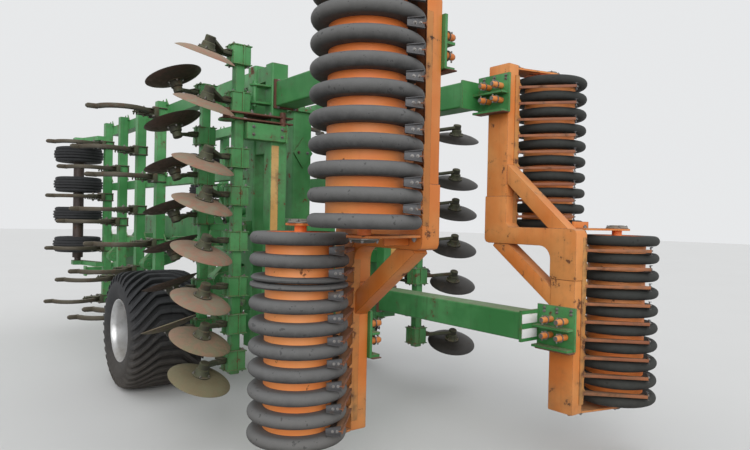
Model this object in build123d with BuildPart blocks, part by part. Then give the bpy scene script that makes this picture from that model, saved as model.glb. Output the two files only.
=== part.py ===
"""A trailed stubble cultivator, folded for the road: two wings of tines, discs and ring rollers on a wheeled chassis.

The frame is in millimetres: X to the right, Y the way it travels, Z up, and the ground at zero.
A distance "ahead" is counted from the rear rollers' axes; ahead() turns it into Y, so that the
machine's middle is at Y = 0. Pieces of a wing are built on the right (+X) and mirrored for the left.
"""

import math
import os

from build123d import *

os.makedirs("parts", exist_ok=True)

# Overall
HITCH_AHEAD = 9050
HITCH_NOSE = 70
SWIVEL_AHEAD = 8930
SWIVEL_R = 28
LINK_HALF = 482
LINK_PIN = 115
LINK_PIN_R = 18.3

# Rollers: rubber rings on steel drums
RING_R = 290
RING_SIDES = 18
RING_BASE = 68
RING_NOSE = 30
RING_PITCH = 125
DRUM_R = 200
DRUM_WALL = 12
ROLLER_X = 1160
ROLLER_STAGGER = 620
LOWER_FIRST_RING = 420
LOWER_RINGS = 10
UPPER_FIRST_RING = 1650
UPPER_RINGS = 10
SHAFT_R = 35
RUNNING_FIT = 0.06

MIDDLE = (HITCH_AHEAD + HITCH_NOSE - RING_R) / 2

# Wing fold hinge
HINGE_X = 720
HINGE_Z = 1080
HINGE_AHEAD = (2800, 4830, 6330)
HINGE_PIN_R = 25
LUG_HALF = 50
EYE_R = 70

# Wing frame
TUBE = (660, 760)
RAIL = (540, 660)
LOW_RAIL = (1250, 1370)
TOP_RAIL = (2770, 2890)
POST_FACE = 668
MID_RAIL = (1990, 2090)
REAR_POSTS = ((2230, 2370, 500, 560, 2930), (1930, 2050, 520, 760, 2900))
WING_FRONT = 6750

# Tine rows: ahead, tube foot, heights of the tines
TINE_ROWS = (
    (6690, 400, (460, 1180, 1890, 2620)),
    (5950, 600, (820, 1555, 2240)),
    (5190, 400, (455, 985, 1710, 2430)),
    (4470, 560, (640, 1335, 2075, 2800)),
)
TINE_WIDTH = 50

# Disc rows: beam ahead, clamp heights, axis towards the hub, centre's height from the clamp
DISC_ROWS = {
    "rear": (1950, (548, 830, 1120, 1470, 1820, 2110, 2540, 2900), (-0.17, -0.40, 0.90), -80),
    "front": (2600, (700, 1040, 1350, 1660, 2000, 2340, 2700), (-0.25, -0.24, -0.94), 80),
}
DISC_R = 230
DISC_SIDES = 16
DISC_X = 1280
DISC_TRAIL = 150
DISC_BEAM = (900, 1000)
DISC_LINKS = (935, 1565, 2620)

# Road wheels
WHEEL_X = 1050
WHEEL_AHEAD = 3550
WHEEL_R = 560
TYRE_WIDTH = 700
RIM_R = 285
TREAD_R = 515
RIM_SIDES = 36
AXLE_STUB_R = 40
LUG_PAIRS = 20
LUG_REACH = 112

# Front tyre sets
FRONT_X = 990
FRONT_AHEAD = 7150
FRONT_R = 325
FRONT_WIDTH = 220
FRONT_RIM_R = 150
FRONT_SIDES = 20
FRONT_TYRE_Z = (1210, 1635, 2065, 2490)
FRONT_AXLE = (980, 2675)
FRONT_STUB_R = 25

# Chassis
SPINE_HALF = 150
SPINE = (1350, 1650)
SPINE_REAR = 2200
SPINE_FRONT = 6950
AXLE_PIVOT = (4120, 1260)
JACK_X = 145
JACK_AHEAD = 8000
JACK_LEG_R = 32

# Fold cylinders, right-hand one: foot on the chassis, eye on the wing, place along the machine
FOLD_FOOT = (-250, 1950)
FOLD_EYE = (560, 1600)
FOLD_AHEAD = {"right": 3750, "left": 3250}
FOLD_BARREL_R = 50
FOOT_PIN_R = 22


def ahead(distance):
    """Y of a place that far ahead of the rear rollers' axes."""
    return distance - MIDDLE


def save(piece, name):
    """Labels a finished piece and writes it."""
    piece.part.label = name
    export_step(piece.part, f"parts/{name}.step")


def save_side(piece, name, side):
    """Writes a piece that was built on the right, mirrored where it is for the left."""
    if side == "right":
        save(piece, f"{name}_right")
        return
    with BuildPart() as other:
        mirror(piece.part, about=Plane.YZ)
    save(other, f"{name}_left")


def save_both(piece, name):
    """Writes a piece for both sides."""
    for side in ("right", "left"):
        save_side(piece, name, side)


def bar(x, y, z):
    """A plain bar that fills three ranges; y is given as distances ahead."""
    with Locations(((x[0] + x[1]) / 2, ahead((y[0] + y[1]) / 2), (z[0] + z[1]) / 2)):
        Box(abs(x[1] - x[0]), abs(y[1] - y[0]), abs(z[1] - z[0]))


def box_section(x, y, z, along, corner=14):
    """A rolled box section with rounded long edges, along "y" or "z"."""
    middle_x = (x[0] + x[1]) / 2
    if along == "z":
        plane = Plane(origin=(middle_x, ahead((y[0] + y[1]) / 2), z[0]), x_dir=(1, 0, 0), z_dir=(0, 0, 1))
        size, length = (x[1] - x[0], y[1] - y[0]), z[1] - z[0]
    else:
        plane = Plane(origin=(middle_x, ahead(y[0]), (z[0] + z[1]) / 2), x_dir=(1, 0, 0), z_dir=(0, 1, 0))
        size, length = (x[1] - x[0], z[1] - z[0]), y[1] - y[0]
    with BuildSketch(plane) as profile:
        RectangleRounded(*size, corner)
    extrude(profile.sketch, amount=length)


def strut(start, end, size):
    """A bar of a rectangular section between two points (x, ahead, z)."""
    a = Vector(start[0], ahead(start[1]), start[2])
    b = Vector(end[0], ahead(end[1]), end[2])
    side = Vector(0, 0, 1) if abs((b - a).normalized().Z) < 0.9 else Vector(1, 0, 0)
    with BuildSketch(Plane(origin=a, x_dir=side.cross(b - a), z_dir=b - a)) as profile:
        Rectangle(*size)
    extrude(profile.sketch, amount=(b - a).length)


def plate_along(points, x):
    """A plate standing along the machine: points are (ahead, z), x its range."""
    with BuildSketch(Plane.YZ.offset(x[0])) as profile:
        Polygon(*[(ahead(y), z) for y, z in points], align=None)
    extrude(profile.sketch, amount=x[1] - x[0])


def plate_across(points, y):
    """A plate standing across the machine: points are (x, z), y its range ahead."""
    with BuildSketch(Plane.XZ.offset(-ahead(y[1]))) as profile:
        Polygon(*points, align=None)
    extrude(profile.sketch, amount=y[1] - y[0])


def plate_flat(points, z):
    """A level plate: points are (x, ahead), z its range."""
    with BuildSketch(Plane.XY.offset(z[0])) as profile:
        Polygon(*[(x, ahead(y)) for x, y in points], align=None)
    extrude(profile.sketch, amount=z[1] - z[0])


def rod_x(x, y, z, radius, mode=Mode.ADD):
    """A round bar across the machine between two x."""
    with Locations(Location(((x[0] + x[1]) / 2, ahead(y), z), (0, 90, 0))):
        Cylinder(radius, abs(x[1] - x[0]), mode=mode)


def rod_y(x, y, z, radius, mode=Mode.ADD):
    """A round bar along the machine between two places ahead."""
    with Locations(Location((x, ahead((y[0] + y[1]) / 2), z), (90, 0, 0))):
        Cylinder(radius, y[1] - y[0], mode=mode)


def rod_z(x, y, z, radius, mode=Mode.ADD):
    """An upright round bar between two heights."""
    with Locations((x, ahead(y), (z[0] + z[1]) / 2)):
        Cylinder(radius, z[1] - z[0], mode=mode)


def many_sided(radius, sides, z, plane_mode=Mode.ADD, centre=(0, 0)):
    """An upright prism between two heights."""
    with BuildSketch(Plane.XY.offset(z[0])) as profile:
        with Locations(centre):
            RegularPolygon(radius, sides, rotation=90)
    extrude(profile.sketch, amount=z[1] - z[0], mode=plane_mode)


def turned(profile, sides, start=90):
    """A solid turned about Z in flats: profile is a closed outline of (radius, z), or ends on the axis."""
    def corner(radius, z, turn):
        angle = math.radians(start + 360 * turn / sides)
        return Vector(radius * math.cos(angle), radius * math.sin(angle), z)

    faces = []
    closed = profile[0][0] > 0
    for (r1, z1), (r2, z2) in zip(profile, profile[1:] + profile[:1] if closed else profile[1:]):
        if z1 == z2 and min(r1, r2) == 0:
            faces.append(Face(Wire.make_polygon([corner(max(r1, r2), z1, turn) for turn in range(sides)])))
            continue
        for turn in range(sides):
            quad = [corner(r1, z1, turn), corner(r1, z1, turn + 1), corner(r2, z2, turn + 1), corner(r2, z2, turn)]
            faces.append(Face(Wire.make_polygon(quad)))
    return Solid(Shell(faces))


def eye_corners(start, end):
    """Corners round the fold hinge's eye between two angles from +X, in degrees."""
    steps = 6
    angles = [math.radians(start + (end - start) * step / steps) for step in range(steps + 1)]
    return [(HINGE_X + EYE_R * math.cos(a), HINGE_Z + EYE_R * math.sin(a)) for a in angles]


# Chassis: the spine, its outriggers to the fold hinges, cylinder feet and axle brackets
with BuildPart() as chassis_frame:
    box_section((-SPINE_HALF, SPINE_HALF), (SPINE_REAR, SPINE_FRONT), SPINE, "y", 20)
    for station in HINGE_AHEAD:
        bar((-420, 420), (station - 80, station + 80), (1200, 1400))
        for side in (1, -1):
            for near in (LUG_HALF + 5, -LUG_HALF - 30):
                reach = (station + near, station + near + 25)
                outline = [(280, 1380), (430, 1380), (500, 1200)] + eye_corners(100, -100) + [(420, 1100), (280, 1200)]
                plate_across([(side * x, z) for x, z in outline], reach)
            pin = (station - LUG_HALF - 45, station + LUG_HALF + 45)
            rod_y(side * HINGE_X, pin, HINGE_Z, HINGE_PIN_R)
    for side in (1, -1):
        for inner in (215, 440):
            low, high = sorted((side * inner, side * (inner + 30)))
            plate_along([(4020, 1400), (4220, 1400), (4220, 1210), (4180, 1170), (4060, 1170), (4020, 1210)], (low, high))
    bar((-470, 470), (4020, 4220), (1352, 1400))
    rod_x((-480, 480), AXLE_PIVOT[0], AXLE_PIVOT[1], 55, Mode.SUBTRACT)
    plate_along([(6950, 1640), (6990, 1640), (6990, 1290), (6950, 1290)], (-190, 190))
save(chassis_frame, "chassis_frame")

# Feet of the fold cylinders: two plates on the spine for each, with the pin through them
with BuildPart() as fold_feet:
    for side, hand in ((1, "right"), (-1, "left")):
        station = FOLD_AHEAD[hand]
        for near in (60, -80):
            outline = [(-148, SPINE[1]), (-20, SPINE[1]), (-195, 2010), (-305, 2010), (-305, 1900)]
            plate_across([(side * x, z) for x, z in outline], (station + near, station + near + 20))
        pin = (side * FOLD_FOOT[0], (station - 95, station + 95), FOLD_FOOT[1])
        rod_y(*pin, FOOT_PIN_R + RUNNING_FIT, Mode.SUBTRACT)
    for side, hand in ((1, "right"), (-1, "left")):
        station = FOLD_AHEAD[hand]
        rod_y(side * FOLD_FOOT[0], (station - 90, station + 90), FOLD_FOOT[1], FOOT_PIN_R)
save(fold_feet, "fold_feet")

# The rear post that the folded wings stand beside
with BuildPart() as rear_post:
    box_section((-100, 100), (2560, 2760), (1650, 2660), "z", 16)
    bar((-130, 130), (2530, 2790), (2660, 2685))
    plate_across([(-105, 2275), (0, 2420), (105, 2275), (0, 2130)], (2544, 2560))
    plate_along([(2760, 1650), (3030, 1650), (2760, 2000)], (-15, 15))
save(rear_post, "rear_post")

# Drawbar: a box beam that slopes down to the hitch head, with the jack's sleeve
with BuildPart() as drawbar:
    bar((-190, 190), (6990, 7015), (1290, 1640))
    plate_along([(7015, 1600), (7150, 1560), (8720, 800), (8870, 740), (8870, 560), (8700, 560),
                 (7100, 1330), (7015, 1350)], (-100, 100))
    for z in (500, 740):
        plate_flat([(-130, 8700), (130, 8700), (130, 8900), (75, 8990), (-75, 8990), (-130, 8900)], (z, z + 60))
    box_section((JACK_X - 45, JACK_X + 45), (JACK_AHEAD - 45, JACK_AHEAD + 45), (700, 1300), "z", 8)
    rod_z(JACK_X, JACK_AHEAD, (699, 1301), JACK_LEG_R + RUNNING_FIT, Mode.SUBTRACT)
    rod_z(0, SWIVEL_AHEAD, (490, 810), SWIVEL_R)
save(drawbar, "drawbar")

# Hitch crossbar: swivels on the drawbar's head and ends in the two lower-link pins
with BuildPart() as hitch_crossbar:
    bar((-460, 460), (8990, HITCH_AHEAD + HITCH_NOSE), (585, 715))
    for side in (1, -1):
        bar(sorted((side * 455, side * LINK_HALF)), (8970, HITCH_AHEAD + HITCH_NOSE), (565, 735))
        rod_x(sorted((side * LINK_HALF, side * (LINK_HALF + LINK_PIN))), HITCH_AHEAD, 650, LINK_PIN_R)
    bar((-50, 50), (SWIVEL_AHEAD, 9000), (590, 710))
    rod_z(0, SWIVEL_AHEAD, (590, 710), 52)
    rod_z(0, SWIVEL_AHEAD, (580, 720), SWIVEL_R + RUNNING_FIT, Mode.SUBTRACT)
save(hitch_crossbar, "hitch_crossbar")

# Jack: an inner leg with a wide foot
with BuildPart() as jack_leg:
    rod_z(JACK_X, JACK_AHEAD, (15, 1250), JACK_LEG_R)
    bar((JACK_X - 140, JACK_X + 140), (JACK_AHEAD - 140, JACK_AHEAD + 140), (0, 20))
save(jack_leg, "jack_leg")

# Axle: two trailing arms on one pivot tube, with the cross axle between the wheels
with BuildPart() as axle_arms:
    rod_x((-480, 480), AXLE_PIVOT[0], AXLE_PIVOT[1], 55)
    rod_x((-625, 625), WHEEL_AHEAD, WHEEL_R, 60)
    for side in (1, -1):
        strut((side * 340, 4120, 1260), (side * 340, WHEEL_AHEAD, WHEEL_R), (140, 160))
        rod_x(sorted((side * 625, side * 650)), WHEEL_AHEAD, WHEEL_R, 130)
        rod_x(sorted((side * 650, side * 900)), WHEEL_AHEAD, WHEEL_R, AXLE_STUB_R)
save(axle_arms, "axle_arms")

# Wheels: a dished rim with a hub, and a wide tyre with chevron lugs; both are turned about Z, then laid on X
RIM_PROFILE = [(0, -395), (110, -395), (125, -330), (125, -65), (268, -65), (268, -305), (RIM_R, -315), (RIM_R, 315),
               (268, 305), (268, -40), (125, -40), (110, 20), (0, 20)]
TYRE_PROFILE = [(RIM_R, -315), (400, -350), (485, -335), (TREAD_R, -290), (TREAD_R, 290), (485, 335), (400, 350),
                (RIM_R, 315)]
ON_ITS_SIDE = Location((WHEEL_X, ahead(WHEEL_AHEAD), WHEEL_R), (0, 90, 0))
with BuildPart() as wheel_rim:
    with Locations(ON_ITS_SIDE):
        add(turned(RIM_PROFILE, RIM_SIDES))
    rod_x((WHEEL_X - 400, WHEEL_X - 120), WHEEL_AHEAD, WHEEL_R, AXLE_STUB_R + RUNNING_FIT, Mode.SUBTRACT)
save_both(wheel_rim, "wheel_rim")

with BuildPart() as lug:
    with BuildSketch(Plane.XY.offset(TREAD_R - 25)):
        for lean in (1, -1):
            near, far = 0, lean * (TYRE_WIDTH / 2 - 14)
            Polygon((near, 70), (near, 26), (far, -LUG_REACH), (far, 48 - LUG_REACH), align=None)
    extrude(amount=math.sqrt(WHEEL_R**2 - LUG_REACH**2) - TREAD_R + 25)
with BuildPart() as wheel_tyre:
    with Locations(ON_ITS_SIDE):
        add(turned(TYRE_PROFILE, RIM_SIDES))
    lowest = 180 - math.degrees(math.asin(LUG_REACH / WHEEL_R))
    for turn in range(LUG_PAIRS):
        with Locations(Location((WHEEL_X, ahead(WHEEL_AHEAD), WHEEL_R), (lowest + turn * 360 / LUG_PAIRS, 0, 0))):
            add(lug.part)
save_both(wheel_tyre, "wheel_tyre")

# Axle cylinders: between the spine's brackets and the trailing arms
with BuildPart() as axle_cylinders:
    for side in (1, -1):
        x = side * 215
        bar(sorted((side * 150, side * 240)), (3000, 3100), (1352, 1420))
        strut((x, 3050, 1352), (x, 3330, 960), (90, 90))
        strut((x, 3320, 970), (x, 3530, 680), (50, 50))
        bar(sorted((side * 190, side * 270)), (3500, 3590), (622, 700))
save(axle_cylinders, "axle_cylinders")


def fold_cylinder(hand):
    """Barrel and rod of one fold cylinder, built for the right-hand wing."""
    station = FOLD_AHEAD[hand]
    foot = Vector(FOLD_FOOT[0], ahead(station), FOLD_FOOT[1])
    eye = Vector(FOLD_EYE[0], ahead(station), FOLD_EYE[1])
    axis = (eye - foot).normalized()
    closed = (eye - foot).length
    with BuildPart() as barrel:
        rod_y(FOLD_FOOT[0], (station - 54, station + 54), FOLD_FOOT[1], 45)
        with BuildSketch(Plane(origin=foot + axis * 20, z_dir=axis)) as tube:
            Circle(FOLD_BARREL_R)
        extrude(tube.sketch, amount=closed - 130)
        with BuildSketch(Plane(origin=foot + axis * (closed - 135), z_dir=axis)) as gland:
            Circle(FOLD_BARREL_R + 8)
        extrude(gland.sketch, amount=45)
        rod_y(FOLD_FOOT[0], (station - 100, station + 100), FOLD_FOOT[1], FOOT_PIN_R + RUNNING_FIT, Mode.SUBTRACT)
        with BuildSketch(Plane(origin=foot + axis * 60, z_dir=axis)) as bore:
            Circle(25 + RUNNING_FIT)
        extrude(bore.sketch, amount=closed, mode=Mode.SUBTRACT)
    with BuildPart() as rod:
        with BuildSketch(Plane(origin=foot + axis * 90, z_dir=axis)) as bar_end:
            Circle(25)
        extrude(bar_end.sketch, amount=closed - 110)
        rod_y(FOLD_EYE[0], (station - 35, station + 35), FOLD_EYE[1], 44)
        rod_y(FOLD_EYE[0], (station - 40, station + 40), FOLD_EYE[1], 20, Mode.SUBTRACT)
    save_side(barrel, "fold_barrel", hand)
    save_side(rod, "fold_rod", hand)


def wing_frame(hand):
    """The wing's rails, its tubes and posts, and its hinge lugs with the cylinder's ears."""
    rear_post_front, front_post_rear = REAR_POSTS[1][1], REAR_POSTS[0][0]
    rails_rear = REAR_POSTS[0][1]
    with BuildPart() as rails:
        for rail in (LOW_RAIL, TOP_RAIL):
            bar(RAIL, (rails_rear, WING_FRONT), rail)
            bar((545, 655), (rear_post_front, front_post_rear), rail)
        bar((545, 655), (rear_post_front, front_post_rear), (2180, 2340))
        bar((545, 655), (rails_rear, 2600), (2180, 2340))
        bar((565, RAIL[1]), (rails_rear, 6650), MID_RAIL)
    with BuildPart() as uprights:
        for near, far, inner, foot, top in REAR_POSTS:
            box_section((inner, POST_FACE), (near, far), (foot, top), "z")
        for row, foot, _ in TINE_ROWS:
            bar(TUBE, (row - 50, row + 50), (foot, 2930))
    with BuildPart() as lugs:
        for station in HINGE_AHEAD:
            outline = [(655, LOW_RAIL[0]), (545, LOW_RAIL[0]), (545, 1215)] + eye_corners(205, 395)
            plate_across(outline, (station - LUG_HALF, station + LUG_HALF))
        for station in HINGE_AHEAD:
            rod_y(HINGE_X, (station - 60, station + 60), HINGE_Z, HINGE_PIN_R + RUNNING_FIT, Mode.SUBTRACT)
        station = FOLD_AHEAD[hand]
        for near in (41, -61):
            outline = [(545, LOW_RAIL[1]), (655, LOW_RAIL[1]), (620, 1610), (585, 1655), (535, 1655), (510, 1610)]
            plate_across(outline, (station + near, station + near + 20))
    save_side(rails, "wing_rails", hand)
    save_side(uprights, "wing_uprights", hand)
    save_side(lugs, "hinge_lugs", hand)


def bow(radius, angle):
    """A place on a tine leg's bow: angles are counted from the leg's point end, in degrees."""
    turn = math.radians(angle)
    return 1115 + radius * math.cos(turn), 60 - radius * math.sin(turn)


def tines():
    """Curved tine legs with their spring housings, and the points at their ends."""
    with BuildPart() as leg:
        with BuildSketch(Plane.XY.offset(-TINE_WIDTH / 2)) as outline:
            back = [bow(290, angle) for angle in range(155, 15, -20)]
            front = [bow(232, angle) for angle in range(15, 156, 20)]
            Polygon((800, -30), *back, (1400, 15), (1375, 50), *front, (800, 40), align=None)
        extrude(outline.sketch, amount=TINE_WIDTH)
        with Locations((800, 0, 0)):
            Box(80, 130, 90)
    with BuildPart() as point:
        with BuildSketch(Plane.XZ.offset(-50)) as share:
            Polygon((1376, -32), (1376, 32), (1455, 38), (1490, 0), (1455, -38), align=None)
        extrude(share.sketch, amount=35)
    places = [(0, ahead(row), z) for row, _, heights in TINE_ROWS for z in heights]
    with BuildPart() as tine_legs:
        with Locations(*places):
            add(leg.part)
    with BuildPart() as tine_points:
        with Locations(*places):
            add(point.part)
    save_both(tine_legs, "tine_legs")
    save_both(tine_points, "tine_points")


def disc():
    """One dished disc with its hub, centred at its rim's plane, the hub towards +Z."""
    with BuildPart() as dish:
        add(turned([(0, 36), (89, 36), (DISC_R, 0), (95, 42), (0, 42)], DISC_SIDES))
        many_sided(60, 8, (42, 95))
        many_sided(24, 6, (95, 130))
    return dish.part


def disc_rows():
    """The disc gangs: a beam for each row, its clamps and arms, and the discs."""
    one = disc()
    with BuildPart() as discs:
        for row, heights, axis, drop in DISC_ROWS.values():
            for z in heights:
                centre = (DISC_X, ahead(row - DISC_TRAIL), z + drop)
                with Locations(Plane(origin=centre, z_dir=axis).location):
                    add(one)
    with BuildPart() as carrier:
        for row, heights, axis, drop in DISC_ROWS.values():
            bar(DISC_BEAM, (row - 50, row + 50), (heights[0] - 110, heights[-1] + 90))
            for z in heights:
                bar((870, 1030), (row - 75, row + 75), (z - 50, z + 50))
                hub = Vector(DISC_X, row - DISC_TRAIL, z + drop) + Vector(*axis).normalized() * 116
                strut((1010, row, z), (hub.X, hub.Y, hub.Z), (30, 60))
    with BuildPart() as links:
        for z in DISC_LINKS:
            bar((POST_FACE, 725), (2250, 2350), (z - 60, z + 60))
            plate_flat([(700, 2262), (700, 2338), (DISC_BEAM[0], 2640), (DISC_BEAM[0], 2550), (745, 2300),
                        (DISC_BEAM[0], 2000), (DISC_BEAM[0], 1910)], (z - 28, z + 28))
    save_both(discs, "discs")
    save_both(carrier, "disc_carrier")
    save_both(links, "disc_links")


def front_tyres():
    """Four ribbed tyres on one axle, and the arms that hold it ahead of the wing."""
    with BuildPart() as one:
        half, shoulder = FRONT_WIDTH / 2, FRONT_R - 45
        add(turned([(FRONT_RIM_R, -half), (shoulder, -half), (FRONT_R, 30 - half), (FRONT_R, half - 30),
                    (shoulder, half), (FRONT_RIM_R, half)], FRONT_SIDES))
    places = [(FRONT_X, ahead(FRONT_AHEAD), z) for z in FRONT_TYRE_Z]
    with BuildPart() as tyres:
        with Locations(*places):
            add(one.part)
    with BuildPart() as axle:
        many_sided(45, 10, FRONT_AXLE, centre=(FRONT_X, ahead(FRONT_AHEAD)))
        rod_z(FRONT_X, FRONT_AHEAD, (FRONT_AXLE[0] - 65, FRONT_AXLE[1] + 65), FRONT_STUB_R)
        for z in FRONT_TYRE_Z:
            many_sided(FRONT_RIM_R, FRONT_SIDES, (z - 100, z + 100), centre=(FRONT_X, ahead(FRONT_AHEAD)))
    with BuildPart() as arms:
        for z, out in ((FRONT_AXLE[0] - 5, -1), (FRONT_AXLE[1] + 5, 1)):
            low, high = sorted((z, z + out * 60))
            plate_flat([(760, 6640), (760, 6740), (930, 7220), (1060, 7220), (1060, 7080), (960, 7060), (860, 6640)],
                       (low, high))
            rod_z(FRONT_X, FRONT_AHEAD, (low - 1, high + 1), FRONT_STUB_R + RUNNING_FIT, Mode.SUBTRACT)
    save_both(tyres, "front_tyres")
    save_both(axle, "front_axle")
    save_both(arms, "front_arms")


def roller(name, hand, y, first, count):
    """One ring roller: the drum with its end discs and shaft, and the rubber rings round it."""
    last = first + (count - 1) * RING_PITCH
    drum_foot, drum_top = first - 50, last + 50
    spot = (ROLLER_X, ahead(y))
    with BuildPart() as drum:
        many_sided(DRUM_R, RING_SIDES, (drum_foot, drum_top), centre=spot)
        many_sided(DRUM_R - DRUM_WALL, RING_SIDES, (drum_foot, drum_top), Mode.SUBTRACT, centre=spot)
        for z in (drum_foot + 25, drum_top - 37):
            many_sided(DRUM_R - DRUM_WALL + 2, RING_SIDES, (z, z + 12), centre=spot)
            for hole in (30, 150, 270):
                angle = math.radians(hole)
                at = (spot[0] + 115 * math.cos(angle), spot[1] + 115 * math.sin(angle))
                many_sided(45, 6, (z - 1, z + 13), Mode.SUBTRACT, centre=at)
        rod_z(ROLLER_X, y, (first - 95, last + 95), SHAFT_R)
    with BuildPart() as ring:
        base, nose = RING_BASE / 2, RING_NOSE / 2
        add(turned([(DRUM_R, -base), (RING_R, -nose), (RING_R, nose), (DRUM_R, base)], RING_SIDES))
    with BuildPart() as rings:
        with Locations(*[(spot[0], spot[1], first + i * RING_PITCH) for i in range(count)]):
            add(ring.part)
    save_side(drum, f"{name}_drum", hand)
    save_side(rings, f"{name}_rings", hand)


def roller_frame(hand, lower_y, upper_y):
    """The orange frame: a beam beside each roller, the elbow between them, its braces and end plates."""
    rows = ((lower_y, LOWER_FIRST_RING, LOWER_RINGS), (upper_y, UPPER_FIRST_RING, UPPER_RINGS))
    with BuildPart() as frame:
        box_section((650, 770), (lower_y, lower_y + 200), (335, 1620), "z")
        box_section((650, 770), (upper_y, upper_y + 200), (1500, 2880), "z")
        low_y, high_y = min(lower_y, upper_y), max(lower_y, upper_y)
        bar((652, 768), (low_y, high_y + 200), (1500, 1620))
        strut((710, upper_y + 100, 2080), (710, lower_y + 100, 1600), (100, 90))
        strut((710, upper_y + 100, 1520), (710, lower_y + 100, 1080), (100, 90))
        for y, first, count in rows:
            last = first + (count - 1) * RING_PITCH
            for z, out in ((first - 70, -1), (last + 70, 1)):
                low, high = sorted((z, z + out * 15))
                plate_flat([(770, y), (770, y + 190), (880, y + 190), (ROLLER_X + 60, y + 85),
                            (ROLLER_X + 60, y - 85), (ROLLER_X - 60, y - 85)], (low, high))
                low, high = sorted((z, z + out * 25))
                many_sided(80, 8, (low, high), centre=(ROLLER_X, ahead(y)))
                rod_z(ROLLER_X, y, (low - 1, high + 1), SHAFT_R + RUNNING_FIT, Mode.SUBTRACT)
    save_side(frame, "roller_frame", hand)
    knee_x, knee_y, tip_x, tip_y = ROLLER_X - 87, -307, ROLLER_X - 12, -262
    with BuildPart() as scrapers:
        for y, first, count in rows:
            for gap in range(count - 1):
                z = first + (gap + 0.5) * RING_PITCH
                plate_flat([(770, y + 2), (770, y + 42), (knee_x + 9, y + knee_y + 9), (knee_x - 9, y + knee_y - 9)],
                           (z - 16, z + 16))
                plate_flat([(knee_x - 9, y + knee_y - 5), (knee_x + 3, y + knee_y - 14),
                            (tip_x + 2, y + tip_y - 8), (tip_x - 2, y + tip_y)], (z - 24, z + 24))
    save_side(scrapers, "scrapers", hand)


def roller_arms(hand, lower_y, upper_y):
    """The green arms from the wing to the roller frame, with their bracket plates and pins."""
    with BuildPart() as arms:
        for z, y in ((930, lower_y), (2650, upper_y)):
            box_section((450, 640), (y + 290, REAR_POSTS[1][0]), (z - 100, z + 100), "y")
            bar((440, 650), (y + 280, y + 300), (z - 110, z + 110))
            bar((630, 650), (y - 20, y + 290), (z - 150, z + 150))
            for level in (z, z - 142):
                bar((560, 635), (y - 10, y + 285), (level - 8, level + 8))
            for near in (50, 170):
                for level in (z - 55, z + 55):
                    rod_x((530, 635), y + near, level, 20)
    save_side(arms, "roller_arms", hand)


tines()
disc_rows()
front_tyres()
for hand, lower_y, upper_y in (("right", 0, ROLLER_STAGGER), ("left", ROLLER_STAGGER, 0)):
    fold_cylinder(hand)
    wing_frame(hand)
    roller_arms(hand, lower_y, upper_y)
    roller_frame(hand, lower_y, upper_y)
    roller("lower", hand, lower_y, LOWER_FIRST_RING, LOWER_RINGS)
    roller("upper", hand, upper_y, UPPER_FIRST_RING, UPPER_RINGS)
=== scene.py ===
"""A folded stubble cultivator, dressed over its CAD frame for rendering.

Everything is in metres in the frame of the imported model: X to the right, Y the way it travels, Z up.
"""

import logging
import math
from collections.abc import Iterable, Sequence
from dataclasses import dataclass, field
from enum import Enum
from functools import cached_property

import bmesh
import bpy
from mathutils import Matrix, Vector


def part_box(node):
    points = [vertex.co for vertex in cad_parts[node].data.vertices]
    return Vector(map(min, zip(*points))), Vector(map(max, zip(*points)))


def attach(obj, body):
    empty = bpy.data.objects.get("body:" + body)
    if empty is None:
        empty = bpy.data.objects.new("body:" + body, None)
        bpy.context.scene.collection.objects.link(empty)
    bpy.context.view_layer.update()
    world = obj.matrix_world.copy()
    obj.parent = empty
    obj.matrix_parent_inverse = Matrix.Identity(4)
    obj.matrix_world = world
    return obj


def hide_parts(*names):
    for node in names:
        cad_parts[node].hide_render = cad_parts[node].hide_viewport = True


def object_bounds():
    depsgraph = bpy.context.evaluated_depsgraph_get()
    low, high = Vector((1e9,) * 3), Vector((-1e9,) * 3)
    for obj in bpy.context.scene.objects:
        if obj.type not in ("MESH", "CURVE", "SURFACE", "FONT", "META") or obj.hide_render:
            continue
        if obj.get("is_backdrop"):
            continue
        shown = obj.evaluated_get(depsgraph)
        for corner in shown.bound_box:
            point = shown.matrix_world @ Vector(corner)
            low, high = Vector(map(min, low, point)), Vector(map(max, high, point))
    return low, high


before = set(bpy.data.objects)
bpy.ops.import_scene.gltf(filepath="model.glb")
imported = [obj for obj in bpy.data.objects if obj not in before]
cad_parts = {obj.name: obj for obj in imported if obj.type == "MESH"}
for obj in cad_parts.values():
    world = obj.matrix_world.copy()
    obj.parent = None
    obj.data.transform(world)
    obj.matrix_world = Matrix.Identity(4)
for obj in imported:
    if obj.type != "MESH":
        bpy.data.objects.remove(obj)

CAD_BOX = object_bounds()
Colour = tuple[float, float, float]
Flat = tuple[float, float]
Point = tuple[float, float, float]
Outline = Sequence[Flat]
UP, DOWN, BACK = (0, 0, 1), (0, 0, -1), (0, -1, 0)
MUD, DUST, SCAR = (0.16, 0.115, 0.065), (0.33, 0.29, 0.20), (0.060, 0.030, 0.018)
log = logging.getLogger("cultivator")


def ahead(distance: float) -> float:
    """Gives the Y, in metres, of a place so many millimetres ahead of the rear rollers' axes."""
    return (distance - 4415) / 1000


def round_about(count: int, start: float = 0.0) -> list[Flat]:
    """Gives the cosine and sine of each of so many even turns."""
    turns = [start + 2 * math.pi * i / count for i in range(count)]
    return [(math.cos(t), math.sin(t)) for t in turns]


def both_ways(half: Outline) -> list[Flat]:
    """Gives a turned profile from its half at negative heights, and the same half mirrored."""
    return [*half, *((radius, -z) for radius, z in reversed(half) if z)]


class Side(Enum):
    """The two wings, each with the sign of its X."""

    RIGHT = 1
    LEFT = -1

    @property
    def word(self) -> str:
        """The side's name as the nodes and bodies have it."""
        return self.name.lower()


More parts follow.
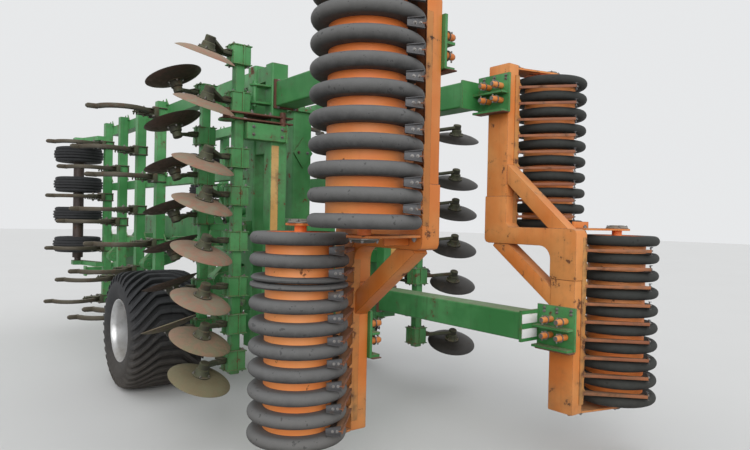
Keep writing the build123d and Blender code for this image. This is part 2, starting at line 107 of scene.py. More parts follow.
class Value:
    """A node's socket that takes part in Python arithmetic."""

    def __init__(self, nodes: "Nodes", socket: bpy.types.NodeSocket) -> None:
        """Keeps the socket and the tree that it belongs to."""
        self.nodes = nodes
        self.socket = socket

    def __add__(self, other: "Value | float") -> "Value":
        """Adds."""
        return self.nodes.math("ADD", self, other)

    def __sub__(self, other: "Value | float") -> "Value":
        """Subtracts."""
        return self.nodes.math("SUBTRACT", self, other)

    def __mul__(self, other: "Value | float") -> "Value":
        """Multiplies."""
        return self.nodes.math("MULTIPLY", self, other)

    def __radd__(self, other: float) -> "Value":
        """Adds, with the number first."""
        return self.nodes.math("ADD", other, self)

    def __rsub__(self, other: float) -> "Value":
        """Subtracts from the number."""
        return self.nodes.math("SUBTRACT", other, self)


class Nodes:
    """A node tree, with one way to add any node."""

    def __init__(self, tree: bpy.types.NodeTree) -> None:
        """Keeps the tree and empties it."""
        self.tree = tree
        tree.nodes.clear()

    def node(self, kind: str, settings: dict | None = None, sockets: dict | None = None,
             output: int | str = 0) -> Value:
        """Adds a node.

        Args:
            kind: The node's type.
            settings: The node's own settings, set before its sockets.
            sockets: Values or links for its inputs, by name or number; a list has several links.
            output: The output that is wanted.

        Returns:
            That output, ready for arithmetic.
        """
        made = self.tree.nodes.new(kind)
        for key, setting in (settings or {}).items():
            setattr(made, key, setting)
        for key, given in (sockets or {}).items():
            links = given if isinstance(given, list) else [given]
            if isinstance(links[0], Value):
                for link in links:
                    self.tree.links.new(link.socket, made.inputs[key])
            else:
                made.inputs[key].default_value = given
        return Value(self, made.outputs[output] if made.outputs else None)

    def math(self, operation: str, *terms: Value | float) -> Value:
        """Adds a Math node on its terms."""
        return self.node("ShaderNodeMath", {"operation": operation}, dict(enumerate(terms)))

    def seen(self) -> Value:
        """Gives 1 to rays from the camera, also mirrored or through glass, and 0 to light."""
        camera, glossy, through = (self.node("ShaderNodeLightPath", output=f"Is {kind} Ray")
                                   for kind in ("Camera", "Glossy", "Transmission"))
        return self.math("MAXIMUM", self.math("MAXIMUM", camera, glossy), through)


class Shader(Nodes):
    """A material's node tree."""

    def __init__(self, name: str) -> None:
        """Starts an empty tree in a new material.

        Args:
            name: The material's name.
        """
        self.material = bpy.data.materials.new(name)
        self.material.use_nodes = True
        super().__init__(self.material.node_tree)

    def mix(self, factor: Value | float, first: Value | Colour, second: Value | Colour) -> Value:
        """Mixes two colours: a factor of 0 gives the first, and 1 the second."""
        colours = [given if isinstance(given, Value) else (*given, 1.0) for given in (first, second)]
        return self.node("ShaderNodeMix", {"data_type": "RGBA"}, {0: factor, 6: colours[0], 7: colours[1]}, 2)

    def step(self, value: Value, low: float, high: float) -> Value:
        """Rises smoothly from 0 at low to 1 at high."""
        return self.node("ShaderNodeMapRange", {"interpolation_type": "SMOOTHSTEP"},
                         {"Value": value, "From Min": low, "From Max": high})

    def place(self) -> Value:
        """Gives the piece's own coordinates."""
        return self.node("ShaderNodeTexCoord", output="Object")

    def noise(self, where: Value, scale: float, detail: float = 3.0, roughness: float = 0.55,
              stretch: Point | None = None) -> Value:
        """Adds a noise pattern between 0 and 1.

        Args:
            where: The coordinates that it is laid on.
            scale: How fine it is.
            detail: How many finer layers it has.
            roughness: How strong those are.
            stretch: How much finer it is along each axis, if that differs.

        Returns:
            The pattern.
        """
        if stretch:
            where = self.node("ShaderNodeMapping", None, {"Vector": where, "Scale": stretch})
        return self.node("ShaderNodeTexNoise", None,
                         {"Vector": where, "Scale": scale, "Detail": detail, "Roughness": roughness})

    def part(self, vector: Value, axis: int) -> Value:
        """Gives one of a vector's three numbers."""
        return self.node("ShaderNodeSeparateXYZ", None, {"Vector": vector}, axis)

    def upward(self) -> Value:
        """Gives 1 on faces that look up, and -1 on faces that look down."""
        return self.part(self.node("ShaderNodeTexCoord", output="Normal"), 2)

    def rounded(self, radius: float) -> Value:
        """Gives normals that round the edges by a radius."""
        return self.node("ShaderNodeBevel", {"samples": 4}, {"Radius": radius})

    def edges(self, radius: float) -> Value:
        """Gives a mask of the edges.

        Args:
            radius: How wide it is, in metres.

        Returns:
            1 on the edges and 0 elsewhere.
        """
        geometry = self.node("ShaderNodeNewGeometry", output="Normal")
        dot = self.node("ShaderNodeVectorMath", {"operation": "DOT_PRODUCT"},
                        {0: self.rounded(radius), 1: geometry}, "Value")
        return self.step(1 - dot, 0.015, 0.16)

    def finish(self, colour: Value, roughness: Value | float, height: Value | None = None,
               metallic: Value | float = 0.0, depth: float = 0.001, soft: float = 0.0) -> bpy.types.Material:
        """Ends the tree in a surface.

        Args:
            colour: The base colour.
            roughness: The roughness.
            height: A pattern that is raised, if any.
            metallic: How metallic it is.
            depth: How far the pattern is raised, in metres.
            soft: The radius that rounds the edges where a pattern is raised.

        Returns:
            The finished material.
        """
        sockets: dict = {"Base Color": colour, "Roughness": roughness, "Metallic": metallic}
        if height is not None:
            bump = {"Height": height, "Distance": depth, "Strength": 1.0, "Normal": self.rounded(soft)}
            sockets["Normal"] = self.node("ShaderNodeBump", None, bump)
        surface = self.node("ShaderNodeBsdfPrincipled", None, sockets)
        self.node("ShaderNodeOutputMaterial", None, {"Surface": surface})
        return self.material


def scaled(colour: Colour, factor: float, lift: float = 0.0) -> Colour:
    """Gives a colour times a factor, plus a lift."""
    return tuple(part * factor + lift for part in colour)


@dataclass(frozen=True)
class Enamel:
    """Sprayed enamel over steel: faded, chipped to rust along its edges, and dusty on top."""

    name: str
    colour: Colour
    faded: Colour
    rust: float
    dust: float
    mud: float
    shine: float
    grime: float
    metal: float = 0.0
    scars: float = 0.0

    def material(self) -> bpy.types.Material:
        """Builds the material.

        Returns:
            The finished material.
        """
        s = Shader(self.name)
        where = s.place()
        broad = s.noise(where, 1.7, 4)
        middle = s.noise(where, 11, 5, 0.62)
        fine = s.noise(where, 85, 3)
        streaks = s.noise(where, 1.0, 3, stretch=(26, 26, 1.6))
        paint = s.mix(s.step(broad, 0.35, 0.68), self.colour, self.faded)
        paint = s.mix(s.step(streaks, 0.55, 0.80) * (0.06 + self.grime * 0.8), paint, scaled(self.colour, 0.50))
        stained = s.step(middle * 0.7 + broad * 0.5 + streaks * 0.2, 0.68, 0.88) * self.grime
        paint = s.mix(stained, paint, (0.075, 0.058, 0.034))
        bare = s.step(s.edges(0.006) * 0.55 + middle + fine * 0.12, 1.05 - 0.18 * self.rust, 1.16 - 0.16 * self.rust)
        spots = s.step(middle + broad * 0.35 + fine * 0.2, 1.02 - 0.13 * self.rust, 1.07 - 0.12 * self.rust)
        rust = s.math("MAXIMUM", bare, spots)
        rusty = s.mix(s.step(fine, 0.35, 0.7), (0.055, 0.022, 0.012), (0.23, 0.085, 0.035))
        scar = s.step(s.noise(where, 5.5, 6, 0.68) + fine * 0.05, 0.695, 0.725) * self.scars
        colour = s.mix(scar, s.mix(rust, paint, rusty), SCAR)
        lying = s.step(s.upward() + middle * 0.5, 0.72, 1.25) * self.dust
        low = s.step(s.part(where, 2) * -1 + middle * 0.9, -0.35, 0.35) * self.mud
        colour = s.mix(low, s.mix(lying, colour, DUST), MUD)
        rough = self.shine + rust * 0.35 + lying * 0.4 + low * 0.3 + fine * 0.08
        height = fine * 0.12 + middle * 0.25 - rust * 0.5
        metal = (1 - rust) * (1 - lying) * self.metal if self.metal else 0.0
        return s.finish(colour, s.math("MINIMUM", rough, 0.95), height, metal, 0.0012, 0.004)


@dataclass(frozen=True)
class Rubber:
    """Black rubber, greyed by dust on top, scuffed and muddy."""

    name: str
    colour: Colour
    dusty: Colour
    dust: float
    mud: float
    nicks: float = 0.0

    def material(self) -> bpy.types.Material:
        """Builds the material.

        Returns:
            The finished material.
        """
        s = Shader(self.name)
        where = s.place()
        broad = s.noise(where, 2.6, 4)
        middle = s.noise(where, 22, 4, 0.6)
        fine = s.noise(where, 150, 3)
        luck = s.node("ShaderNodeAttribute", {"attribute_name": "luck"}, output="Fac")
        lying = s.step(s.upward() * 0.6 + broad * 0.9 + fine * 0.3 + luck * 0.35, -0.15, 1.15) * self.dust
        colour = s.mix(s.step(middle, 0.3, 0.75), self.colour, scaled(self.colour, 1.8, 0.008))
        scuffs = s.step(s.noise(where, 2.2, 5, 0.7, (9, 9, 60)), 0.62, 0.72) * 0.35
        colour = s.mix(scuffs, s.mix(lying, colour, self.dusty), scaled(self.dusty, 1.25))
        low = s.step(s.part(where, 2) * -1 + middle * 0.7 + broad * 0.4, -0.3, 0.55) * self.mud
        pits = s.step(middle * 0.5 + s.noise(where, 46, 2) * 0.5, 0.60, 0.64) * self.nicks
        colour = s.mix(pits, s.mix(low, colour, (0.13, 0.098, 0.062)), scaled(self.colour, 0.5))
        height = middle * 0.5 + fine * 0.3 - pits * 0.9
        return s.finish(colour, 0.72 + lying * 0.18 + fine * 0.08, height, 0.0, 0.0020, 0.003)


@dataclass(frozen=True)
class Steel:
    """Bare or worn steel: polished where it works, and brown with rust elsewhere; faces that look down are painted
    darker, which is painted shade.
    """

    name: str
    colour: Colour
    stain: Colour
    # under: the dark colour of the painted shade on faces that look down
    under: Colour
    metal: float
    rust: float
    shine: float = 0.38
    soil: float = 0.0
    dust: float = 0.45

    def material(self) -> bpy.types.Material:
        """Builds the material.

        Returns:
            The finished material.
        """
        s = Shader(self.name)
        where = s.place()
        broad = s.noise(where, 3.1, 4)
        middle = s.noise(where, 19, 5, 0.6)
        fine = s.noise(where, 130, 3)
        scratches = s.noise(where, 1.5, 2, stretch=(14, 150, 60))
        up = s.upward()
        rust = s.step(middle + broad * 0.5 + fine * 0.15, 1.02 - 0.3 * self.rust, 1.25 - 0.3 * self.rust)
        colour = s.mix(s.step(scratches, 0.4, 0.75) * 0.5, self.colour, scaled(self.colour, 1.35))
        # Painted shade: faces that look down are mixed towards the under colour, a dark tone that stands in for the
        # shade beneath them.
        painted_underside_shade = s.step(up * -1 + middle * 0.3, 0.0, 0.5)
        colour = s.mix(painted_underside_shade * 0.85, s.mix(rust, colour, self.stain), self.under)
        lying = s.step(up + middle * 0.5, 0.75, 1.3) * self.dust
        low = s.step(s.part(where, 2) * -1 + middle * 0.5, -0.72, -0.30) * self.soil
        colour = s.mix(low, s.mix(lying, colour, (0.34, 0.28, 0.20)), (0.165, 0.150, 0.080))
        rough = self.shine + rust * 0.4 + lying * 0.3 + fine * 0.1
        metal = (1 - rust) * (1 - lying) * self.metal
        return s.finish(colour, rough, fine * 0.3 + middle * 0.4, metal, 0.0009, 0.002)


class Finish(Enum):
    """The finishes that the machine has."""

    GREEN = Enamel("green_enamel", (0.034, 0.190, 0.048), (0.100, 0.340, 0.120),
                   rust=0.70, dust=0.45, mud=0.40, shine=0.45, grime=0.42, scars=0.5)
    ORANGE = Enamel("orange_enamel", (0.62, 0.175, 0.028), (0.70, 0.29, 0.085),
                    rust=0.86, dust=0.30, mud=0.30, shine=0.45, grime=0.14, scars=0.85)
    # Painted light: a brighter copy of the orange enamel, with little dust or grime, that makes up for the shade that
    # the rings cast on the drum.
    DRUM = Enamel("orange_drum", (0.86, 0.215, 0.044), (0.88, 0.325, 0.100),
                  rust=0.42, dust=0.05, mud=0.03, shine=0.50, grime=0.02)
    FIN = Enamel("rusted_orange", (0.20, 0.058, 0.022), (0.34, 0.120, 0.042),
                 rust=0.85, dust=0.25, mud=0.3, shine=0.55, grime=0.5)
    SILVER = Enamel("silver_enamel", (0.50, 0.51, 0.52), (0.70, 0.70, 0.70),
                    rust=0.20, dust=0.25, mud=0.35, shine=0.30, grime=0.20, metal=0.75)
    WHITE = Enamel("white_plate", (0.74, 0.75, 0.74), (0.80, 0.80, 0.78),
                   rust=0.12, dust=0.25, mud=0.2, shine=0.42, grime=0.15)
    STRIPE = Enamel("yellow_strip", (0.58, 0.30, 0.075), (0.66, 0.42, 0.16),
                    rust=0.55, dust=0.20, mud=0.30, shine=0.50, grime=0.55)
    COMB = Enamel("weathered_comb", (0.50, 0.175, 0.040), (0.56, 0.275, 0.085),
                  rust=0.90, dust=0.25, mud=0.35, shine=0.55, grime=0.60, scars=0.8)
    OXIDE = Enamel("rusted_plate", (0.095, 0.034, 0.022), (0.19, 0.075, 0.045),
                   rust=0.8, dust=0.35, mud=0.4, shine=0.62, grime=0.5)
    AXLE = Enamel("axle_paint", (0.045, 0.030, 0.026), (0.085, 0.052, 0.043),
                  rust=0.6, dust=0.30, mud=0.3, shine=0.55, grime=0.5)
    RING = Rubber("ring_rubber", (0.036, 0.036, 0.037), (0.165, 0.163, 0.158), dust=0.74, mud=0.15, nicks=0.5)
    # The right wing's rings take this darker, near-black copy of the ring rubber above: painted shade, in place of the
    # shade that the frame casts on their inner side.
    SHADE_RING = Rubber("damp_ring_rubber", (0.009, 0.010, 0.009), (0.038, 0.041, 0.037),
                        dust=0.62, mud=0.12, nicks=0.5)
    TYRE = Rubber("tyre_rubber", (0.007, 0.007, 0.008), (0.040, 0.041, 0.044), dust=0.55, mud=0.22)
    DISC = Steel("disc_steel", (0.300, 0.150, 0.100), (0.215, 0.180, 0.118), (0.026, 0.020, 0.018),
                 metal=0.20, rust=0.95, shine=0.55, soil=0.8)
    # The right wing's discs take this near-black copy of the disc steel: painted shade, as their faces are seen from
    # the shaded side.
    SHADE_DISC = Steel("oiled_disc_steel", (0.030, 0.027, 0.025), (0.052, 0.036, 0.030), (0.012, 0.011, 0.010),
                       metal=0.25, rust=0.4, shine=0.42, dust=0.06)
    WORN = Steel("worn_steel", (0.21, 0.195, 0.17), (0.17, 0.10, 0.06), (0.05, 0.042, 0.034), metal=0.45, rust=0.7)
    TINE = Steel("weathered_tine", (0.080, 0.068, 0.046), (0.115, 0.070, 0.044), (0.028, 0.023, 0.017),
                 metal=0.25, rust=0.6, shine=0.55, dust=0.25)
    ARM = Steel("weathered_arm", (0.062, 0.066, 0.034), (0.10, 0.060, 0.036), (0.024, 0.023, 0.016),
                metal=0.1, rust=0.6, shine=0.6, dust=0.3)
    SCRAPER = Steel("scraper_steel", (0.072, 0.072, 0.076), (0.13, 0.085, 0.062), (0.045, 0.040, 0.038),
                    metal=0.45, rust=0.5, shine=0.42, dust=0.15)
    BOLT = Steel("bolt_steel", (0.24, 0.23, 0.22), (0.15, 0.075, 0.04), (0.05, 0.04, 0.035), metal=0.6, rust=0.6)
    CHROME = Steel("chromed_rod", (0.62, 0.63, 0.65), (0.34, 0.25, 0.18), (0.40, 0.40, 0.42),
                   metal=0.95, rust=0.10, shine=0.16)

    @cached_property
    def material(self) -> bpy.types.Material:
        """The finish's material, built once."""
        return self.value.material()


class Form:
    """A mesh being built. The X of points given as numbers is measured away from the machine's middle."""

    def __init__(self, sign: int = 1) -> None:
        """Starts with nothing, on the side with this sign of X."""
        self.mesh = bmesh.new()
        self.sign = sign

    def take(self, part: bmesh.types.BMesh, place: Matrix | None = None, bevel: float = 0.0) -> None:
        """Takes in a finished solid.

        Args:
            part: The solid, which is used up.
            place: Where it goes.
            bevel: How wide its sharp edges are cut, in metres.
        """
        bmesh.ops.recalc_face_normals(part, faces=part.faces)
        if bevel:
            sharp = [e for e in part.edges if e.is_manifold and e.calc_face_angle(0) > 0.6]
            bmesh.ops.bevel(part, geom=sharp, offset=bevel, segments=2, profile=0.6, affect="EDGES",
                            clamp_overlap=True)
        if place is not None:
            part.transform(place)
        held = bpy.data.meshes.new("held")
        part.to_mesh(held)
        part.free()
        self.mesh.from_mesh(held)
        bpy.data.meshes.remove(held)

    def plate(self, outline: Outline, place: Matrix, depth: float, bevel: float = 0.0,
              hole_outlines: Sequence[Outline] = ()) -> None:
        """Adds a plate.

        Args:
            outline: Its corners in the place's XY plane.
            place: The frame that it lies in.
            depth: Its thickness, along the place's Z.
            bevel: How wide its sharp edges are cut.
            hole_outlines: Outlines that are left open.
        """
        part = bmesh.new()
        loops = [[part.verts.new((x, y, 0)) for x, y in loop] for loop in (outline, *hole_outlines)]
        if hole_outlines:
            edges = [part.edges.new((loop[i - 1], loop[i])) for loop in loops for i in range(len(loop))]
            bmesh.ops.triangle_fill(part, use_beauty=True, edges=edges, normal=UP)
        else:
            part.faces.new(loops[0])
        grown = bmesh.ops.extrude_face_region(part, geom=part.faces[:])["geom"]
        corners = [v for v in grown if isinstance(v, bmesh.types.BMVert)]
        bmesh.ops.translate(part, verts=corners, vec=(0, 0, depth))
        self.take(part, place, bevel)

    def _out(self, outline: Outline) -> list[Flat]:
        """Gives an outline with its first numbers on the form's side."""
        return [(self.sign * a, b) for a, b in outline]

    def _spot(self, point: Sequence[float]) -> Vector:
        """Gives a point with its X on the form's side."""
        return Vector((self.sign * point[0], point[1], point[2]))

    def level(self, outline: Outline, z: float, depth: float, bevel: float = 0.0, *holes: Outline) -> None:
        """Adds a level plate on a height, from its corners (x, y)."""
        self.plate(self._out(outline), upright(0, 0, z), depth, bevel, [self._out(hole) for hole in holes])

    def wall(self, outline: Outline, y: float, depth: float, bevel: float = 0.0, *holes: Outline) -> None:
        """Adds a plate across the machine, back from a front at y, from its corners (x, z)."""
        self.plate(self._out(outline), facing((0, y, 0), (1, 0, 0), UP), depth, bevel,
                   [self._out(hole) for hole in holes])

    def flank(self, outline: Outline, x: float, depth: float, bevel: float = 0.0) -> None:
        """Adds a plate along the machine, outwards from an inner face at x, from its corners (y, z)."""
        self.plate(self._out(outline), facing((self.sign * x, 0, 0), (0, self.sign, 0), UP), depth, bevel)

    def box(self, low: Point, high: Point, bevel: float = 0.004) -> None:
        """Adds a bar between two corners.

        Args:
            low: One corner.
            high: The corner across.
            bevel: How wide its edges are cut.
        """
        ends = list(zip(self._spot(low), self._spot(high)))
        (x0, y0, z0), (x1, y1, z1) = ([pick(pair) for pair in ends] for pick in (min, max))
        self.plate([(x0, y0), (x1, y0), (x1, y1), (x0, y1)], upright(0, 0, z0), z1 - z0, bevel)

    def bar(self, start: Sequence[float], end: Sequence[float], wide: float, high: float,
            bevel: float = 0.004) -> None:
        """Adds a straight bar between two points.

        Args:
            start: The middle of one end.
            end: The middle of the other end.
            wide: Its size across, level where it can be.
            high: Its size the other way.
            bevel: How wide its edges are cut.
        """
        a, b = self._spot(start), self._spot(end)
        along = (b - a).normalized()
        side = along.cross(Vector(UP if abs(along.z) < 0.9 else (1, 0, 0)))
        w, h = wide / 2, high / 2
        self.plate([(-w, -h), (w, -h), (w, h), (-w, h)], facing(a, side, along.cross(side)), (b - a).length, bevel)

    def turned(self, profile: Outline, place: Matrix | None = None, sides: int = 48, closed: bool = False) -> None:
        """Adds a solid turned about the place's Z.

        Args:
            profile: Points (radius, z); one with no radius is on the axis.
            place: The frame that it stands in.
            sides: How many faces go round.
            closed: Whether the last point joins the first.
        """
        part = bmesh.new()
        loops = [[part.verts.new((radius * c, radius * s, z)) for c, s in round_about(sides if radius else 1)]
                 for radius, z in profile]
        pairs = list(zip(loops, loops[1:])) + ([(loops[-1], loops[0])] if closed else [])
        for first, second in pairs:
            for i in range(sides):
                near, far = i, i + 1
                ring = [first[near % len(first)], first[far % len(first)],
                        second[far % len(second)], second[near % len(second)]]
                corners = list(dict.fromkeys(ring))
                if len(corners) > 2:
                    part.faces.new(corners)
        self.take(part, place)

    def rod(self, start: Sequence[float], end: Sequence[float], radius: float, sides: int = 20,
            cut: float = 0.002) -> None:
        """Adds a round bar between two points.

        Args:
            start: The middle of one end.
            end: The middle of the other end.
            radius: Its radius.
            sides: How many faces go round.
            cut: How far its ends are cut back at the rim.
        """
        a, b = self._spot(start), self._spot(end)
        length = (b - a).length
        along = (b - a).normalized()
        side = along.orthogonal().normalized()
        profile = [(0, 0), (radius - cut, 0), (radius, cut), (radius, length - cut), (radius - cut, length),
                   (0, length)]
        self.turned(profile, facing(a, side, along.cross(side)), sides)

    def _strip(self, part: bmesh.types.BMesh, rows: list, bevel: float = 0.0) -> None:
        """Joins rows of corners to a closed solid with a face on each end, and takes it in.

        Args:
            part: The mesh that the corners are in, which is used up.
            rows: The rows, with as many corners each.
            bevel: How wide its sharp edges are cut.
        """
        for first, second in zip(rows, rows[1:]):
            for i in range(len(first)):
                part.faces.new((first[i - 1], first[i], second[i], second[i - 1]))
        part.faces.new(rows[0][::-1])
        part.faces.new(rows[-1])
        self.take(part, None, bevel)

    def tube(self, path: Sequence[Vector], radius: float, sides: int = 8) -> None:
        """Adds a round section along a path, with its ends closed.

        Args:
            path: The points that it runs through.
            radius: Its radius.
            sides: How many faces go round.
        """
        part = bmesh.new()
        normal = (path[1] - path[0]).orthogonal().normalized()
        rows = []
        for i, at in enumerate(path):
            along = (path[min(i + 1, len(path) - 1)] - path[max(i - 1, 0)]).normalized()
            normal = (normal - along * normal.dot(along)).normalized()
            other = along.cross(normal)
            rows.append([part.verts.new(at + (normal * c + other * s) * radius) for c, s in round_about(sides)])
        self._strip(part, rows)

    def swept(self, sections: Sequence[Sequence[Point]], bevel: float) -> None:
        """Adds a solid through a row of sections that have as many corners each."""
        part = bmesh.new()
        self._strip(part, [[part.verts.new(corner) for corner in section] for section in sections], bevel)

    def coil(self, start: Point, end: Point, radius: float, wire: float, turns: int) -> None:
        """Adds a coil spring between two points.

        Args:
            start: The middle of one end.
            end: The middle of the other end.
            radius: From the coil's axis to the middle of the wire.
            wire: The wire's radius.
            turns: How many turns it has.
        """
        a, b = self._spot(start), self._spot(end)
        along = (b - a).normalized()
        side = along.orthogonal().normalized()
        other = along.cross(side)
        steps, each = turns * 14, 2 * math.pi / 14
        self.tube([a + (b - a) * (i / steps) + (side * math.cos(each * i) + other * math.sin(each * i)) * radius
                   for i in range(steps + 1)], wire, 6)

    def copy_of(self, other: "Form", place: Matrix) -> None:
        """Adds a copy of another form at a place."""
        self.take(other.mesh.copy(), place)

    def object(self, name: str, finish: Finish) -> bpy.types.Object:
        """Makes the form an object at the origin.

        Args:
            name: The object's name.
            finish: Its finish.

        Returns:
            The object.
        """
        mesh = bpy.data.meshes.new(name)
        self.mesh.to_mesh(mesh)
        self.mesh.free()
        mesh.materials.append(finish.material)
        smooth(mesh)
        return linked(name, mesh)

    def piece(self, name: str, finish: Finish, body: str, slot: str,
              replaces: Iterable[str] = ()) -> bpy.types.Object:
        """Makes the form a piece that rides on a body.

        Args:
            name: The piece's name.
            finish: Its finish.
            body: The CAD body that it rides on.
            slot: The record's material slot.
            replaces: The CAD nodes that it stands for.

        Returns:
            The piece.
        """
        return settle(self.object(name, finish), body, slot, replaces)


def linked(name: str, data: bpy.types.ID) -> bpy.types.Object:
    """Makes an object of some data, in the scene.

    Args:
        name: The object's name.
        data: What it holds.

    Returns:
        The object.
    """
    made = bpy.data.objects.new(name, data)
    bpy.context.scene.collection.objects.link(made)
    return made


def smooth(mesh: bpy.types.Mesh, angle: float = 38) -> None:
    """Shades a mesh smooth, apart from edges sharper than an angle in degrees."""
    mesh.shade_smooth()
    mesh.set_sharp_from_angle(angle=math.radians(angle))


def settle(made: bpy.types.Object, body: str, slot: str, replaces: Iterable[str] = ()) -> bpy.types.Object:
    """Sets what a piece rides on and hides the CAD nodes that it replaces.

    Args:
        made: The piece.
        body: The CAD body that it rides on.
        slot: The record's material slot; not used.
        replaces: The CAD nodes that it stands for.

    Returns:
        The piece.
    """
    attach(made, body)
    nodes = list(replaces)
    if nodes:
        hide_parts(*nodes)
    log.info("%s rides on %s: %d faces", made.name, body, len(made.data.polygons))
    return made


def facing(origin: Vector | Point, x_axis: Vector | Point, y_axis: Vector | Point) -> Matrix:
    """Gives a frame from its origin and two of its axes.

    Args:
        origin: Where it is.
        x_axis: The way of its X.
        y_axis: The way of its Y, square to X.

    Returns:
        The frame.
    """
    x, y = Vector(x_axis).normalized(), Vector(y_axis).normalized()
    columns = Matrix((x, y, x.cross(y))).transposed().to_4x4()
    columns.translation = origin
    return columns


def upright(x: float, y: float, z: float) -> Matrix:
    """Gives a frame that stands at a point."""
    return Matrix.Translation((x, y, z))


def tilted(origin: Vector | Point, axis: Vector | Point) -> Matrix:
    """Gives a frame whose Z runs along an axis."""
    return Matrix.Translation(origin) @ Vector(axis).normalized().to_track_quat("Z", "Y").to_matrix().to_4x4()


def circle(radius: float, sides: int = 16, centre: Flat = (0, 0)) -> list[Flat]:
    """Gives the corners of a circle."""
    return [(centre[0] + radius * c, centre[1] + radius * s) for c, s in round_about(sides)]


class Generator(Nodes):
    """A Geometry Nodes tree with named inputs, which is run once on an object."""

    def __init__(self, name: str, inputs: dict[str, str]) -> None:
        """Starts the tree.

        Args:
            name: The tree's name.
            inputs: The kind of each input, by its name.
        """
        super().__init__(bpy.data.node_groups.new(name, "GeometryNodeTree"))
        self.tree.is_modifier = True
        face = self.tree.interface
        face.new_socket("Geometry", in_out="INPUT", socket_type="NodeSocketGeometry")
        self.keys = {key: face.new_socket(key, in_out="INPUT", socket_type=f"NodeSocket{kind}").identifier
                     for key, kind in inputs.items()}
        face.new_socket("Geometry", in_out="OUTPUT", socket_type="NodeSocketGeometry")
        group = self.tree.nodes.new("NodeGroupInput")
        self.given = {socket.name: Value(self, socket) for socket in group.outputs}

    def close(self, geometry: Value) -> None:
        """Ends the tree: instances are made real, in the finish that is given.

        Args:
            geometry: What the tree has built.
        """
        real = self.node("GeometryNodeRealizeInstances", None, {"Geometry": geometry})
        painted = self.node("GeometryNodeSetMaterial", None, {"Geometry": real, "Material": self.given["Finish"]})
        self.node("NodeGroupOutput", None, {0: painted})

    def run(self, made: bpy.types.Object, values: dict, angle: float = 38) -> bpy.types.Object:
        """Runs the tree on an object and makes the result its plain mesh.

        Args:
            made: The object.
            values: The inputs' values, by name.
            angle: Edges sharper than this stay sharp, in degrees.

        Returns:
            The object.
        """
        modifier = made.modifiers.new(self.tree.name, "NODES")
        modifier.node_group = self.tree
        for key, value in values.items():
            modifier[self.keys[key]] = value
        graph = bpy.context.evaluated_depsgraph_get()
        mesh = bpy.data.meshes.new_from_object(made.evaluated_get(graph), preserve_all_data_layers=True,
                                               depsgraph=graph)
        made.modifiers.clear()
        made.data = mesh
        smooth(mesh, angle)
        return made


class Array(Generator):
    """Sets out copies of an item in a line or round an axis."""

    def __init__(self) -> None:
        """Builds the tree."""
        super().__init__("set_out", {"Item": "Object", "Count": "Int", "Start": "Vector", "Step": "Vector",
                                     "Turn": "Vector", "Wobble": "Float", "Seed": "Int", "Finish": "Material"})
        given = self.given
        line = self.node("GeometryNodeMeshLine", {"mode": "OFFSET"},
                         {"Count": given["Count"], "Start Location": given["Start"], "Offset": given["Step"]})
        turn = self.node("ShaderNodeVectorMath", {"operation": "SCALE"},
                         {0: given["Turn"], "Scale": self.node("GeometryNodeInputIndex")})
        wobble = self.node("FunctionNodeRandomValue", {"data_type": "FLOAT_VECTOR"},
                           {0: given["Wobble"] * -1.0, 1: given["Wobble"], "Seed": given["Seed"]})
        both = self.node("ShaderNodeVectorMath", {"operation": "ADD"}, {0: turn, 1: wobble})
        item = self.node("GeometryNodeObjectInfo", None, {"Object": given["Item"]}, "Geometry")
        laid = self.node("GeometryNodeInstanceOnPoints", None, {"Points": line, "Instance": item, "Rotation": both})
        luck = self.node("FunctionNodeRandomValue", {"data_type": "FLOAT"}, {"Seed": given["Seed"]}, 1)
        self.close(self.node("GeometryNodeStoreNamedAttribute", {"data_type": "FLOAT", "domain": "INSTANCE"},
                             {"Geometry": laid, "Name": "luck", "Value": luck}))

    def lay(self, name: str, form: Form, finish: Finish, count: int, start: Point, step: Point = (0, 0, 0),
            turn: Point = (0, 0, 0), wobble: float = 0.0, seed: int = 1) -> bpy.types.Object:
        """Sets out copies of a form and makes them one plain mesh.

        Args:
            name: The new object's name.
            form: What is repeated, built round its own origin; it is used up.
            finish: The finish.
            count: How many copies.
            start: Where the first goes.
            step: How far each is from the last.
            turn: How far each is turned from the last, in radians.
            wobble: The most that one is tilted at random, in radians.
            seed: The seed of the tilts.

        Returns:
            The object, at the origin.
        """
        item = form.object("item", finish)
        made = self.run(linked(name, bpy.data.meshes.new(name)),
                        {"Item": item, "Count": count, "Start": start, "Step": step, "Turn": turn,
                         "Wobble": wobble, "Seed": seed, "Finish": finish.material})
        bpy.data.objects.remove(item)
        return made


